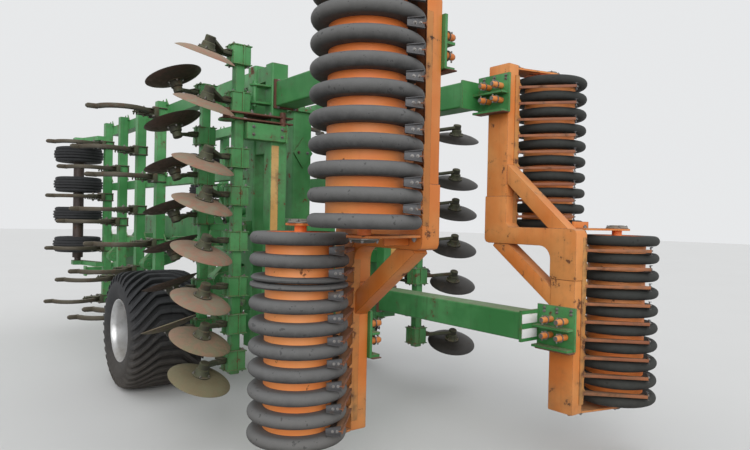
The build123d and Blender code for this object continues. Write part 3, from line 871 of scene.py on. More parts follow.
class Bolts(Generator):
    """Hexagon bolts and nuts, whose places are gathered for each body."""

    def __init__(self) -> None:
        """Builds the tree that puts a head, a washer and the bolt's end at each point."""
        super().__init__("bolt_heads", {"Head height": "Float", "Washer width": "Float", "Finish": "Material"})
        self.places: dict[str, list[tuple[Point, Point, float]]] = {}
        given, parts = self.given, []
        for sides, radius, depth, up in ((6, 1.0, given["Head height"], 0.55), (14, given["Washer width"], 0.24, 0.0),
                                         (10, 0.52, 2.3, 0.55)):
            drum = self.node("GeometryNodeMeshCylinder", None, {"Vertices": sides, "Radius": radius, "Depth": depth})
            parts.append(self.node("GeometryNodeTransform", None, {"Geometry": drum, "Translation": (0, 0, up)}))
        joined = self.node("GeometryNodeJoinGeometry", None, {0: parts})
        way, size = (self.node("GeometryNodeInputNamedAttribute", {"data_type": kind}, {"Name": name})
                     for kind, name in (("FLOAT_VECTOR", "facing"), ("FLOAT", "size")))
        turned = self.node("FunctionNodeAlignRotationToVector", {"axis": "Z"}, {"Vector": way})
        self.close(self.node("GeometryNodeInstanceOnPoints", None,
                             {"Points": given["Geometry"], "Instance": joined, "Rotation": turned, "Scale": size}))

    def add(self, body: str, at: Sequence[float], way: Sequence[float], size: float) -> None:
        """Notes a bolt head.

        Args:
            body: The body that it rides on.
            at: Where its washer lies.
            way: The way that it sticks out.
            size: The head's radius.
        """
        self.places.setdefault(body, []).append((tuple(at), tuple(way), size))

    def build(self) -> None:
        """Makes one piece of bolts for each body."""
        for body, places in self.places.items():
            mesh = bpy.data.meshes.new(f"bolts_{body}")
            mesh.from_pydata([at for at, _, _ in places], [], [])
            mesh.attributes.new("facing", "FLOAT_VECTOR", "POINT").data.foreach_set(
                "vector", [c for _, way, _ in places for c in way])
            mesh.attributes.new("size", "FLOAT", "POINT").data.foreach_set("value", [s for _, _, s in places])
            made = self.run(linked(f"bolts_{body}", mesh),
                            {"Head height": 1.1, "Washer width": 1.35, "Finish": Finish.BOLT.material}, 30)
            settle(made, body, "bare_steel")


@dataclass
class Workshop:
    """What every sub-assembly is built with."""

    array: Array = field(default_factory=Array)
    bolts: Bolts = field(default_factory=Bolts)


@dataclass
class Assembly:
    """A sub-assembly of one side of the machine."""

    shop: Workshop
    side: Side

    @property
    def sign(self) -> int:
        """The sign of the side's X."""
        return self.side.value

    @property
    def word(self) -> str:
        """The side's name."""
        return self.side.word

    @property
    def body(self) -> str:
        """The body that the sub-assembly rides on."""
        return f"wing_{self.word}"

    def form(self) -> Form:
        """Starts a form on this side."""
        return Form(self.sign)

    def bolt(self, at: Sequence[float], way: Sequence[float], size: float) -> None:
        """Notes a bolt head, with X measured away from the machine's middle."""
        self.shop.bolts.add(self.body, (self.sign * at[0], *at[1:]), (self.sign * way[0], *way[1:]), size)

    def piece(self, form: Form, stem: str, finish: Finish, slot: str, node: str = "") -> bpy.types.Object:
        """Makes a form a piece of this side.

        Args:
            form: The form.
            stem: The piece's name, without the side.
            finish: Its finish.
            slot: The record's material slot.
            node: The CAD node that it stands for, without the side, if any.

        Returns:
            The piece.
        """
        nodes = [f"{node}_{self.word}"] if node else []
        return form.piece(f"{stem}_{self.word}", finish, self.body, slot, nodes)


@dataclass
class RingRoller(Assembly):
    """A roller of rubber rings on a steel drum, standing on end in the folded machine.

    END and PLATE are how far the drum's ends and the end plates are from the middle of the last ring.
    """

    level: str
    count: int = 10
    pitch: float = 0.125
    radius: float = 0.289
    half: float = 0.036
    drum: float = 0.199
    worn: int | None = None

    END = 0.034
    PLATE = 0.070

    def __post_init__(self) -> None:
        """Finds the roller's axis and its lowest and highest ring from the CAD."""
        low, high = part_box(f"{self.level}_rings_{self.word}")
        self.x, self.y = (low.x + high.x) / 2, (low.y + high.y) / 2
        self.first = low.z + self.END
        self.last = self.first + (self.count - 1) * self.pitch

    @property
    def body(self) -> str:
        """The body that the roller rides on."""
        return f"{self.level}_roller_{self.word}"

    @property
    def gaps(self) -> list[float]:
        """The heights of the gaps between rings."""
        return [self.first + (gap + 0.5) * self.pitch for gap in range(self.count - 1)]

    def _ring(self) -> Form:
        """Builds one ring round the origin: straight flanks and a round nose.

        Returns:
            The ring.
        """
        nose = self.half
        centre = self.radius - nose
        profile = [(self.drum, -nose), (centre - 0.012, -nose)]
        for step in range(11):
            angle = math.radians(-90 + 18 * step)
            profile.append((centre + nose * math.cos(angle), nose * math.sin(angle)))
        profile += [(centre - 0.012, nose), (self.drum, nose)]
        form = Form()
        form.turned(profile, None, 72, closed=True)
        return form

    def _worn_ring(self) -> Form:
        """Builds the ring whose rubber has split: two thin lips with a groove between them.

        Returns:
            The ring.
        """
        form = Form()
        form.turned([(self.drum, 0.004), (0.262, 0.006), (0.276, 0.014), (0.280, 0.024), (0.270, 0.033),
                     (0.240, 0.036), (self.drum, 0.036)], None, 72, closed=True)
        form.turned([(self.drum, -0.036), (0.250, -0.036), (0.276, -0.032), (0.286, -0.022), (0.284, -0.010),
                     (0.262, -0.002), (self.drum, -0.003)], None, 72, closed=True)
        return form

    def _rings(self) -> None:
        """Sets the rings out along the drum."""
        name = f"{self.level}_rubber_rings_{self.word}"
        # The right wing's rings take the darker rubber copy, which is painted shade.
        finish = Finish.RING if self.side is Side.LEFT else Finish.SHADE_RING
        runs = [(0, self.count)] if self.worn is None else [(0, self.worn), (self.worn + 1, self.count)]
        lay = self.shop.array.lay
        parts = [lay(f"{name}_{number + 1}", self._ring(), finish, stop - start,
                     (self.x, self.y, self.first + start * self.pitch), (0, 0, self.pitch), (0, 0, 0.7), 0.004,
                     7 + number + self.count) for number, (start, stop) in enumerate(runs)]
        if self.worn is not None:
            at = (self.x, self.y, self.first + self.worn * self.pitch)
            parts.append(lay(f"{name}_worn", self._worn_ring(), Finish.RING, 1, at, wobble=0.006, seed=4))
        for part in parts:
            settle(part, self.body, "ring_rubber")
        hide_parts(f"{self.level}_rings_{self.word}")

    def _barrel(self) -> None:
        """Builds the drum with its recessed end discs, shaft and collars."""
        form = Form()
        place = upright(self.x, self.y, 0)
        low, top = self.first - self.END, self.last + self.END
        skin, inside = self.drum, self.drum - 0.012
        form.turned([(inside, low), (skin - 0.002, low), (skin, low + 0.003), (skin, top - 0.003), (skin - 0.002, top),
                     (inside, top)], place, 72, closed=True)
        holes = [circle(0.042, 16, (0.115 * math.cos(a), 0.115 * math.sin(a))) for a in (0.52, 2.62, 4.71)]
        for z in (low + 0.025, top - 0.037):
            form.plate(circle(inside + 0.002, 48), upright(self.x, self.y, z), 0.012, 0.0, holes)
        for z, way in ((low - 0.061, 1), (top + 0.061, -1)):
            form.rod((self.x, self.y, z), (self.x, self.y, z + way * 0.08), 0.035, 24)
        form.turned([(0, low), (0.0345, low), (0.0345, top), (0, top)], place, 24)
        for z in (low + 0.045, top - 0.045):
            form.turned([(0.03, z - 0.02), (0.062, z - 0.018), (0.07, z), (0.062, z + 0.018), (0.03, z + 0.02)],
                        place, 24, closed=True)
        # The drum takes the brightened orange, which paints light into the shade between the rings.
        self.piece(form, f"{self.level}_drum_shell", Finish.DRUM, "orange_enamel", f"{self.level}_drum")

    def _bearings(self) -> None:
        """Adds the flanged bearings on the frame's end plates."""
        form = Form()
        body = f"wing_{self.word}"
        for z, out in ((self.first - self.PLATE, -1), (self.last + self.PLATE, 1)):
            face = z + out * 0.015
            form.turned([(0.037, 0), (0.078, 0), (0.078, 0.006), (0.060, 0.012), (0.054, 0.022), (0.037, 0.024)],
                        facing((self.x, self.y, face), (1, 0, 0), (0, out, 0)), 28, closed=True)
            for c, s in round_about(4, math.pi / 4):
                at = (self.x + 0.066 * c, self.y + 0.066 * s, face + out * 0.010)
                self.shop.bolts.add(body, at, (0, 0, out), 0.008)
        form.piece(f"{self.level}_bearings_{self.word}", Finish.WORN, body, "worn_steel")

    def build(self) -> None:
        """Builds the whole roller."""
        self._barrel()
        self._rings()
        self._bearings()


@dataclass
class DiscGang(Assembly):
    """The two rows of dished discs on a wing, with their beams, clamps and arms."""

    x: float = 1.28
    trail: float = 0.15
    radius: float = 0.229

    ROWS = (
        (1950, (0.548, 0.83, 1.12, 1.47, 1.82, 2.11, 2.54, 2.90), (-0.17, -0.33, 0.93), -0.08),
        (2600, (0.70, 1.04, 1.35, 1.66, 2.00, 2.34, 2.70), (-0.25, -0.24, -0.94), 0.08),
    )
    LINKS = (0.935, 1.565, 2.62)
    WEAR = (1.0, 0.985, 0.97, 0.995, 0.98, 1.0, 0.99, 0.975)

    @staticmethod
    def _dish(radius: float) -> Form:
        """Builds a disc round the origin, dished towards +Z.

        Args:
            radius: Its radius.

        Returns:
            The disc.
        """
        rise, flat = 0.036, 0.085

        def crown(r: float) -> float:
            """Gives the dish's height at a radius."""
            return rise * (1 - max(0.0, (r - flat) / (radius - flat)) ** 1.7)

        radii = [0, 0.05, flat, 0.12, 0.155, 0.19, radius - 0.012, radius]
        top = [(r, crown(r) + (0.0055 if r < radius - 0.02 else 0.003 if r < radius else 0.0)) for r in radii]
        form = Form()
        form.turned(top + [(r, crown(r) - 0.001) for r in reversed(radii[:-1])], None, 64)
        return form

    @staticmethod
    def _hub() -> Form:
        """Builds the hub on a disc's crown: flange, cast housing and cap, with a nut under the disc.

        Returns:
            The hub.
        """
        form = Form()
        form.turned([(0, 0.041), (0.068, 0.041), (0.068, 0.049), (0.056, 0.052), (0.050, 0.060), (0.046, 0.092),
                     (0.038, 0.098), (0.026, 0.100), (0.026, 0.128), (0.020, 0.132), (0, 0.132)], None, 32)
        form.turned([(0, 0.036), (0.030, 0.036), (0.030, 0.022), (0.022, 0.012), (0, 0.010)], None, 20)
        return form

    def build(self) -> None:
        """Builds both rows."""
        discs, hubs, arms, frames, links = (self.form() for _ in range(5))
        for row, heights, axis, drop in self.ROWS:
            y = ahead(row)
            way = Vector(axis).normalized()
            along = Vector((self.sign * way.x, way.y, way.z))
            frames.box((0.912, y - 0.038, heights[0] - 0.11), (0.988, y + 0.038, heights[-1] + 0.09), 0.010)
            for z, wear in zip(heights, self.WEAR):
                place = tilted((self.sign * self.x, y - self.trail, z + drop), along)
                discs.copy_of(self._dish(self.radius * wear), place)
                hubs.copy_of(self._hub(), place)
                for c, s in round_about(5):
                    self.shop.bolts.add(self.body, place @ Vector((0.058 * c, 0.058 * s, 0.050)), along, 0.008)
                self._arm(arms, y, z, Vector((self.x, y - self.trail, z + drop)) + way * 0.116, way)
                self._clamp(frames, y, z)
        self._links(links)
        self.piece(links, "disc_row_links", Finish.GREEN, "green_enamel", "disc_links")
        # The right wing's discs take the darker steel copy, which is painted shade.
        finish = Finish.DISC if self.side is Side.LEFT else Finish.SHADE_DISC
        self.piece(discs, "dished_discs", finish, "disc_steel", "discs")
        self.piece(hubs, "disc_hubs", Finish.ARM, "worn_steel")
        self.piece(arms, "disc_arms", Finish.ARM, "green_enamel")
        self.piece(frames, "disc_beams", Finish.GREEN, "green_enamel", "disc_carrier")

    @staticmethod
    def _arm(form: Form, y: float, z: float, hub: Vector, along: Vector) -> None:
        """Adds the arm from a clamp to its hub: flat where it is clamped, then bent and tapered to the hub.

        Args:
            form: What it is added to.
            y: The clamp's place along the machine.
            z: The clamp's height.
            hub: The hub's middle.
            along: The way of the disc's axis.
        """
        root = Vector((1.01, y, z))
        knee = root + Vector((0.11, -0.035, 0))
        form.bar(root, knee, 0.078, 0.030, 0.006)
        form.bar(knee - (hub - knee).normalized() * 0.014, hub - (hub - knee) * 0.08, 0.070, 0.028, 0.006)
        form.bar(root + Vector((0, 0, 0.022)), root + Vector((0.07, -0.02, 0.022)), 0.090, 0.014)
        form.rod(hub - along * 0.030, hub + along * 0.028, 0.038, 24, 0.006)

    def _clamp(self, form: Form, y: float, z: float) -> None:
        """Adds a clamp round the beam: two pressed halves with flanges, a web down the front and four bolts.

        Args:
            form: What it is added to.
            y: Its place along the machine.
            z: Its height.
        """
        for way in (1, -1):
            for near, far, start, end, high, bevel in ((0.876, 1.024, 0.004, 0.066, 0.072, 0.009),
                                                       (0.868, 1.032, 0.004, 0.014, 0.080, 0.002),
                                                       (0.930, 0.944, 0.060, 0.076, 0.078, 0.002)):
                form.box((near, y + way * start, z - high), (far, y + way * end, z + high), bevel)
            for x in (0.890, 1.010):
                for out in (1, -1):
                    self.bolt((x, y + way * 0.040, z + out * 0.074), (0, 0, out), 0.011)
        for out in (1, -1):
            form.box((0.868, y - 0.072, z + out * 0.068), (1.032, y + 0.072, z + out * 0.076), 0.002)

    def _links(self, form: Form) -> None:
        """Adds the links that carry the beams from the wing's posts.

        Args:
            form: What it is added to.
        """
        outline = [(0.702, 2262), (0.702, 2338), (0.90, 2640), (0.90, 2556), (0.760, 2324), (0.752, 2300),
                   (0.760, 2276), (0.90, 1994), (0.90, 1910)]
        for z in self.LINKS:
            form.box((0.668, ahead(2250), z - 0.06), (0.724, ahead(2350), z + 0.06), 0.006)
            form.level([(x, ahead(y)) for x, y in outline], z - 0.028, 0.056, 0.005)
            for x, place in ((0.868, 2000), (0.735, 2300), (0.868, 2570)):
                self.bolt((x, ahead(place), z + 0.029), UP, 0.014)


@dataclass
class TineBank(Assembly):
    """The curved tines on a wing's four tubes, with their spring housings and points."""

    rails: tuple[float, ...] = (1.310, 2.040, 2.830)

    ROWS = (
        (6690, (0.46, 1.18, 1.89, 2.62)),
        (5950, (0.82, 1.555, 2.24)),
        (5190, (0.455, 0.985, 1.71, 2.43)),
        (4470, (0.64, 1.335, 2.075, 2.80)),
    )

    @staticmethod
    def _bow(radius: float, angles: Iterable[int]) -> list[Flat]:
        """Gives places on the leg's bow, in metres from the tube's line, from angles in degrees."""
        turns = map(math.radians, angles)
        return [(1.115 + radius * math.cos(turn), 0.060 - radius * math.sin(turn)) for turn in turns]

    def build(self) -> None:
        """Builds legs, housings, springs and points."""
        legs, housings, points = (self.form() for _ in range(3))
        outline = [(0.80, -0.030), *self._bow(0.290, range(155, 15, -10)), (1.400, 0.015), (1.375, 0.050),
                   *self._bow(0.232, range(15, 156, 10)), (0.80, 0.040)]
        share = [(1.366, -0.027), (1.366, 0.027), (1.470, 0.025), (1.490, 0.012), (1.490, -0.012), (1.470, -0.025)]
        for row, heights in self.ROWS:
            y = ahead(row)
            for z in heights:
                legs.level([(a, y + b) for a, b in outline], z - 0.024, 0.048, 0.007)
                self._housing(housings, y, z)
                points.wall([(a, z + b) for a, b in share], y + 0.050, 0.035, 0.006)
        self.piece(legs, "tine_bows", Finish.TINE, "worn_steel", "tine_legs")
        self.piece(housings, "tine_housings", Finish.ARM, "green_enamel")
        self.piece(points, "tine_shares", Finish.TINE, "worn_steel", "tine_points")

    def _housing(self, form: Form, y: float, z: float) -> None:
        """Adds a tine's housing: clamp plates with their rods, two cheeks, and the coil spring over the leg.

        Args:
            form: What it is added to.
            y: Its place along the machine.
            z: Its height.
        """
        form.box((0.757, y - 0.078, z - 0.058), (0.806, y + 0.078, z + 0.058), 0.006)
        form.box((0.648, y - 0.078, z - 0.058), (0.659, y + 0.078, z + 0.058), 0.003)
        cheek = [(0.79, -0.066), (0.86, -0.070), (0.955, -0.034), (0.965, 0.040), (0.86, 0.098), (0.79, 0.078)]
        for low in (-0.0375, 0.0265):
            form.level([(a, y + b) for a, b in cheek], z + low, 0.011, 0.002)
        form.coil((0.812, y + 0.066, z), (0.985, y + 0.092, z), 0.027, 0.008, 6)
        form.rod((0.800, y + 0.066, z), (0.995, y + 0.0935, z), 0.009, 12)
        for out in (1, -1):
            for dy in (-0.068, 0.068):
                form.rod((0.644, y + dy, z + out * 0.048), (0.812, y + dy, z + out * 0.048), 0.008, 10, 0.001)
        for dy in (-0.0675, 0.0675):
            for out in (1, -1):
                self.bolt((0.807, y + dy, z + out * 0.048), (1, 0, 0), 0.012)
        for out in (1, -1):
            self.bolt((0.90, y, z + out * 0.038), (0, 0, out), 0.014)

    def gussets(self) -> None:
        """Builds the gussets where the tine tubes cross the wing's rails."""
        form = self.form()
        for row, _ in self.ROWS:
            y = ahead(row)
            for z in self.rails:
                for way in (1, -1):
                    form.flank([(y + way * 0.048, z + 0.058), (y + way * 0.130, z + 0.058),
                                (y + way * 0.048, z + 0.135)], 0.664, 0.010)
        self.piece(form, "tube_gussets", Finish.GREEN, "green_enamel")


@dataclass
class FrontTyres(Assembly):
    """Four ribbed tyres on one axle, ahead of a wing."""

    x: float = 0.99
    y: float = ahead(7150)
    radius: float = 0.324
    half: float = 0.108
    heights: tuple[float, ...] = (1.210, 1.635, 2.065, 2.490)

    @property
    def body(self) -> str:
        """The body that the tyres ride on."""
        return f"front_set_{self.word}"

    def _tyre(self) -> Form:
        """Builds one tyre round the origin: bulging walls and five ribs.

        Returns:
            The tyre.
        """
        wall = [(0.152, -0.085), (0.170, -0.100), (0.215, -0.107), (0.262, -self.half), (0.292, -0.101)]
        profile = list(wall)
        for low, high in ((-0.092, -0.062), (-0.052, -0.022), (-0.012, 0.012), (0.022, 0.052), (0.062, 0.092)):
            crown = self.radius - 0.35 * ((low + high) / 2) ** 2 * 10
            profile += [(crown - 0.012, low), (crown, low + 0.002), (crown, high - 0.002), (crown - 0.012, high)]
        form = Form()
        form.turned(profile + both_ways(wall)[5:], None, 60, closed=True)
        return form

    def build(self) -> None:
        """Builds the tyres, their rims and the axle."""
        x = self.sign * self.x
        tyres, metal = Form(), Form()
        rim = both_ways([(0.045, -0.02), (0.120, -0.035), (0.135, -0.080), (0.150, -0.095), (0.158, -0.096),
                         (0.158, -0.088), (0.1495, -0.080)])
        for z in self.heights:
            tyres.copy_of(self._tyre(), upright(x, self.y, z))
            metal.turned([(radius, z + up) for radius, up in rim], upright(x, self.y, 0), 40, closed=True)
            for c, s in round_about(6):
                for out in (1, -1):
                    self.shop.bolts.add(self.body, (x + 0.09 * c, self.y + 0.09 * s, z + out * 0.030),
                                        (0, 0, out), 0.009)
        metal.turned([(0, 0.980), (0.0425, 0.980), (0.0425, 1.012), (0.070, 1.020), (0.070, 2.630), (0.0425, 2.640),
                      (0.0425, 2.675), (0, 2.675)], upright(x, self.y, 0), 32)
        metal.rod((x, self.y, 0.916), (x, self.y, 2.739), 0.0245, 20)
        smooth(self.piece(tyres, "ribbed_tyres", Finish.TYRE, "tyre_rubber", "front_tyres").data, 30)
        self.piece(metal, "tyre_axle", Finish.AXLE, "worn_steel", "front_axle")


@dataclass
class RoadWheel(Assembly):
    """A wide road wheel: dished rim, hub and a tyre with chevron lugs."""

    x: float = 1.05
    y: float = ahead(3550)
    z: float = 0.56
    lugs: int = 36
    reach: float = 0.205
    bend: float = 0.105

    STATIONS = ((0.0, 0.5588, 0.0185), (0.095, 0.5592, 0.0180), (0.115, 0.5590, 0.0185), (0.17, 0.5580, 0.0175),
                (0.23, 0.5545, 0.0175), (0.285, 0.5460, 0.0175), (0.325, 0.5270, 0.0170), (0.345, 0.4880, 0.0140))

    @property
    def body(self) -> str:
        """The body that the wheel rides on."""
        return f"wheel_{self.word}"

    def build(self) -> None:
        """Builds rim and tyre."""
        centre = (self.sign * self.x, self.y, self.z)
        place = facing(centre, (0, 0, -self.sign), (0, 1, 0))
        tyre = Form()
        tyre.turned(both_ways([(0.286, -0.312), (0.300, -0.318), (0.345, -0.338), (0.400, -0.348), (0.452, -0.342),
                               (0.492, -0.322), (0.504, -0.285), (0.510, -0.22), (0.512, -0.12), (0.513, 0.0)]),
                    place, 96)
        smooth(self.piece(tyre, "wheel_carcass", Finish.TYRE, "tyre_rubber", "wheel_tyre").data, 40)
        lug = self._lug()
        start = math.pi - math.asin(0.112 / self.z)
        lug.mesh.transform(Matrix.Rotation(start, 4, "X"))
        settle(self.shop.array.lay(f"wheel_lugs_{self.word}", lug, Finish.TYRE, self.lugs, centre,
                                   turn=(2 * math.pi / self.lugs, 0, 0)), self.body, "tyre_rubber")
        self._rim(place)

    def _lug(self) -> Form:
        """Builds a chevron lug pair at the top of the wheel: level in the middle, then swept back.

        Returns:
            The pair.
        """
        form = Form()
        for lean in (1, -1):
            sections = []
            for far, top, half in self.STATIONS:
                back = 0.03 - 0.08 * far - self.reach * max(0.0, (far - self.bend) / (0.345 - self.bend)) ** 1.1
                corners = []
                for side, level in ((-1.25, top - 0.060), (-1, top), (1, top), (1.25, top - 0.060)):
                    angle = (back + side * half) / 0.54
                    corners.append((lean * min(far, 0.342), level * math.sin(angle), level * math.cos(angle)))
                sections.append(corners)
            form.swept(sections, 0.003)
        return form

    def _rim(self, place: Matrix) -> None:
        """Builds the dished rim with its hub and wheel nuts.

        Args:
            place: A frame whose Z is the wheel's axis.
        """
        rim = Form()
        rim.turned([(0.0405, -0.395), (0.105, -0.395), (0.112, -0.385), (0.124, -0.330), (0.124, -0.070),
                    (0.235, -0.072), (0.258, -0.085), (0.262, -0.140), (0.262, -0.270), (0.272, -0.300),
                    (0.290, -0.316), (0.290, -0.322), (0.296, -0.322), (0.296, -0.312), (0.2845, -0.300),
                    (0.2845, 0.300), (0.296, 0.312), (0.296, 0.322), (0.290, 0.322), (0.272, 0.304), (0.264, 0.270),
                    (0.262, -0.020), (0.235, -0.048), (0.150, -0.050), (0.124, -0.040), (0.118, -0.020),
                    (0.105, 0.016), (0.095, 0.020), (0, 0.020), (0, 0.005), (0.0405, 0.005)], place, 72, closed=True)
        self.piece(rim, "wheel_disc", Finish.SILVER, "silver_enamel", "wheel_rim")
        for c, s in round_about(8):
            self.shop.bolts.add(self.body, place @ Vector((0.175 * c, 0.175 * s, -0.046)), (self.sign, 0, 0), 0.016)


@dataclass
class Scrapers(Assembly):
    """The scrapers between a wing's rings: an arm from the beam to a bolted blade behind the drum."""

    rollers: tuple[RingRoller, ...]
    axis: float = 1.16

    def build(self) -> None:
        """Builds arms and blades for each gap between rings."""
        arms, blades, combs = (self.form() for _ in range(3))
        for roller in self.rollers:
            self._comb(combs, roller)
            for z in roller.gaps:
                self._one(arms, blades, roller.y, z)
        self.piece(arms, "scraper_arms", Finish.FIN, "orange_enamel", "scrapers")
        self.piece(blades, "scraper_blades", Finish.SCRAPER, "scraper_steel")
        self.piece(combs, "scraper_combs", Finish.COMB, "orange_enamel")

    @staticmethod
    def _comb(form: Form, roller: RingRoller) -> None:
        """Adds the notched strip on the beam's rear edge that a roller's scraper arms are set in.

        Args:
            form: What it is added to.
            roller: The roller.
        """
        low, high = roller.first - 0.02, roller.last + 0.02
        outline = [(0.726, low), (0.772, low)]
        for z in roller.gaps:
            outline += [(0.776, z - 0.030), (0.794, z - 0.012), (0.794, z + 0.012), (0.776, z + 0.030)]
        form.wall([*outline, (0.772, high), (0.726, high)], roller.y, 0.007, 0.001)

    def _one(self, arms: Form, blades: Form, y: float, z: float) -> None:
        """Adds one scraper: a flat arm with one folded edge, and a bolted blade on its end.

        Args:
            arms: What its arm is added to.
            blades: What its blade is added to.
            y: The place of the beam's rear face along the machine.
            z: Its height.
        """
        sign, up = self.sign, Vector(UP)
        knee = Vector((sign * (self.axis - 0.087), y - 0.305, z))
        tip = Vector((sign * (self.axis - 0.014), y - 0.262, z))
        near, far = Vector((sign * 0.768, y - 0.004, z)), Vector((sign * 0.768, y + 0.088, z))
        along = (knee - near).normalized()
        across = Vector((-along.y, along.x, 0)) * sign
        corners = [near, knee - across * 0.022, knee + across * 0.022, far]
        arms.plate([(c.x, c.y) for c in corners], upright(0, 0, z - 0.003), 0.006, 0.001)
        length = (corners[1] - near).length
        arms.plate([(0, -0.017), (length, -0.013), (length, 0.010), (0, 0.003)], facing(near, corners[1] - near, UP),
                   0.005, 0.001)
        way = (tip - knee).normalized()
        start = knee - way * 0.012
        blades.plate([(0, -0.029), (0.085, -0.019), (0.085, 0.019), (0, 0.029)], facing(start, way, UP), 0.005, 0.0015)
        normal = way.cross(up)
        back = normal if normal.y < 0 else -normal
        for lip in (1, -1):
            edge = (way * 0.085 - up * lip * 0.010).normalized()
            root = start + up * lip * 0.0275 - back * 0.004
            blades.plate([(0, 0), (0.086, 0), (0.086, 0.011), (0, 0.019)], facing(root, edge, back), 0.0035)
        for out in (0.020, 0.046):
            at = start + way * out + normal * (0.005 if normal.y < 0 else 0.0)
            self.shop.bolts.add(self.body, at, back, 0.0065)


@dataclass
class RollerFrame(Assembly):
    """The orange frame of a wing's rollers: two beams, the sleeved elbow between them, braces and end plates."""

    rollers: tuple[RingRoller, ...]
    inner: float = 0.650
    outer: float = 0.770
    deep: float = 0.200
    foot: float = 0.335
    top: float = 2.880
    elbow: tuple[float, float] = (1.500, 1.620)

    def build(self) -> None:
        """Builds the frame as one piece, with its bolts."""
        form = self.form()
        lower, upper = self.rollers
        for y, low, high in ((lower.y, self.foot, self.elbow[0] + 0.02), (upper.y, self.elbow[1] - 0.02, self.top)):
            form.box((self.inner, y, low), (self.outer, y + self.deep, high), 0.012)
        self._elbow(form, lower.y, upper.y)
        middle, half = (self.inner + self.outer) / 2, self.deep / 2
        for high, low in ((2.115, 1.575), (1.520, 1.060)):
            form.bar((middle, upper.y + half, high), (middle, lower.y + half, low), 0.104, 0.112, 0.010)
        for roller in self.rollers:
            self._ends(form, roller)
        self.piece(form, "roller_beams", Finish.ORANGE, "orange_enamel", "roller_frame")

    def _elbow(self, form: Form, lower: float, upper: float) -> None:
        """Adds the elbow, which is a sleeve round both beams, with a rounded inner corner.

        Args:
            form: The frame.
            lower: The Y of the lower beam's rear face.
            upper: The Y of the upper beam's rear face.
        """
        low, high = self.elbow
        way = 1 if upper > lower else -1
        out = (lower if way > 0 else lower + self.deep) - 0.006 * way
        lower_in = (lower + self.deep if way > 0 else lower) + 0.006 * way
        upper_in = (upper if way > 0 else upper + self.deep) - 0.006 * way
        upper_out = (upper + self.deep if way > 0 else upper) + 0.006 * way
        foot, head = 1.265, 1.860
        outline = [(out, foot), (out, high - 0.03), (out + 0.012 * way, high - 0.006),
                   (out + 0.04 * way, high + 0.004), (upper_in - 0.03 * way, high + 0.004),
                   (upper_in, high + 0.034), (upper_in, head), (upper_out, head), (upper_out, low + 0.03),
                   (upper_out - 0.012 * way, low + 0.004), (upper_out - 0.04 * way, low - 0.004)]
        bend = 0.095
        for step in range(7):
            angle = math.radians(15 * step)
            outline.append((lower_in + way * bend * (1 - math.sin(angle)), low - 0.004 - bend * (1 - math.cos(angle))))
        outline.append((lower_in, foot))
        form.flank(outline, self.inner - 0.005, self.outer - self.inner + 0.010, 0.006)

    def _ends(self, form: Form, roller: RingRoller) -> None:
        """Adds the plates at a roller's two ends, with a hole for its shaft and a web to the beam.

        Args:
            form: What it is added to.
            roller: The roller.
        """
        y, x = roller.y, abs(roller.x)
        outline = [(0.768, y + 0.004), (0.768, y + 0.186), (0.885, y + 0.186), (x + 0.035, y + 0.100),
                   (x + 0.056, y + 0.078), (x + 0.058, y - 0.050), (x + 0.035, y - 0.082), (x - 0.058, y - 0.083)]
        web = [(0.768, y + 0.10), (0.768, y + 0.115), (0.95, y + 0.115), (0.95, y + 0.10)]
        for z, out in ((roller.first - roller.PLATE, -1), (roller.last + roller.PLATE, 1)):
            form.level(outline, z if out > 0 else z - 0.0145, 0.0145, 0.0, circle(0.037, 24, (x, y)))
            form.level(web, z + (0.014 if out > 0 else -0.060), 0.046, 0.002)
            for near in (0.03, 0.16):
                self.bolt((0.80, y + near, z + out * 0.016), (0, 0, out), 0.013)


@dataclass
class Brackets(Assembly):
    """The green brackets that hold a wing's roller frame: pins, bolts and the white plates on the lower arm."""

    rollers: tuple[RingRoller, ...]
    levels: tuple[float, ...] = (0.93, 2.65)

    def _cap(self, x: float, y: float, z: float) -> Matrix:
        """Gives a frame at a point whose Z looks in to the machine's middle."""
        return facing((self.sign * x, y, z), (0, self.sign, 0), DOWN)

    def build(self) -> None:
        """Builds pins, clips, plates and feet for both arms."""
        pins, clips, plates, feet = (self.form() for _ in range(4))
        for roller, z in zip(self.rollers, self.levels):
            for y in (roller.y + 0.05, roller.y + 0.17):
                for level in (z - 0.055, z + 0.055):
                    pins.turned([(0, 0), (0.0225, 0), (0.0225, 0.072), (0.0205, 0.080), (0.0205, 0.108),
                                 (0.016, 0.114), (0, 0.114)], self._cap(0.629, y, level), 20)
                    clips.turned([(0.0200, 0), (0.031, 0), (0.031, 0.005), (0.0200, 0.005)],
                                 self._cap(0.566, y, level), 20, closed=True)
                    clips.turned([(0, 0), (0.0165, 0), (0.0165, 0.003), (0, 0.003)], self._cap(0.5155, y, level), 16)
                    clips.rod((0.528, y, level - 0.033), (0.528, y, level + 0.033), 0.005, 8, 0.001)
            for near in (0.010, 0.124, 0.229):
                for level in (z + 0.105, z + 0.130):
                    self.bolt((0.629, roller.y + near, level), (-1, 0, 0), 0.009)
            feet.box((0.628, roller.y - 0.030, z - 0.158), (0.560, roller.y + 0.255, z - 0.150), 0.002)
        y, z = self.rollers[0].y, self.levels[0]
        for low in (0.018, -0.086):
            plates.box((0.445, y + 0.2765, z + low), (0.612, y + 0.2798, z + low + 0.066), 0.001)
        self.piece(pins, "bracket_pins", Finish.ORANGE, "orange_enamel")
        self.piece(clips, "bracket_clips", Finish.BOLT, "bare_steel")
        self.piece(plates, "reflector_plates", Finish.WHITE, "silver_enamel")
        self.piece(feet, "bracket_feet", Finish.OXIDE, "worn_steel")


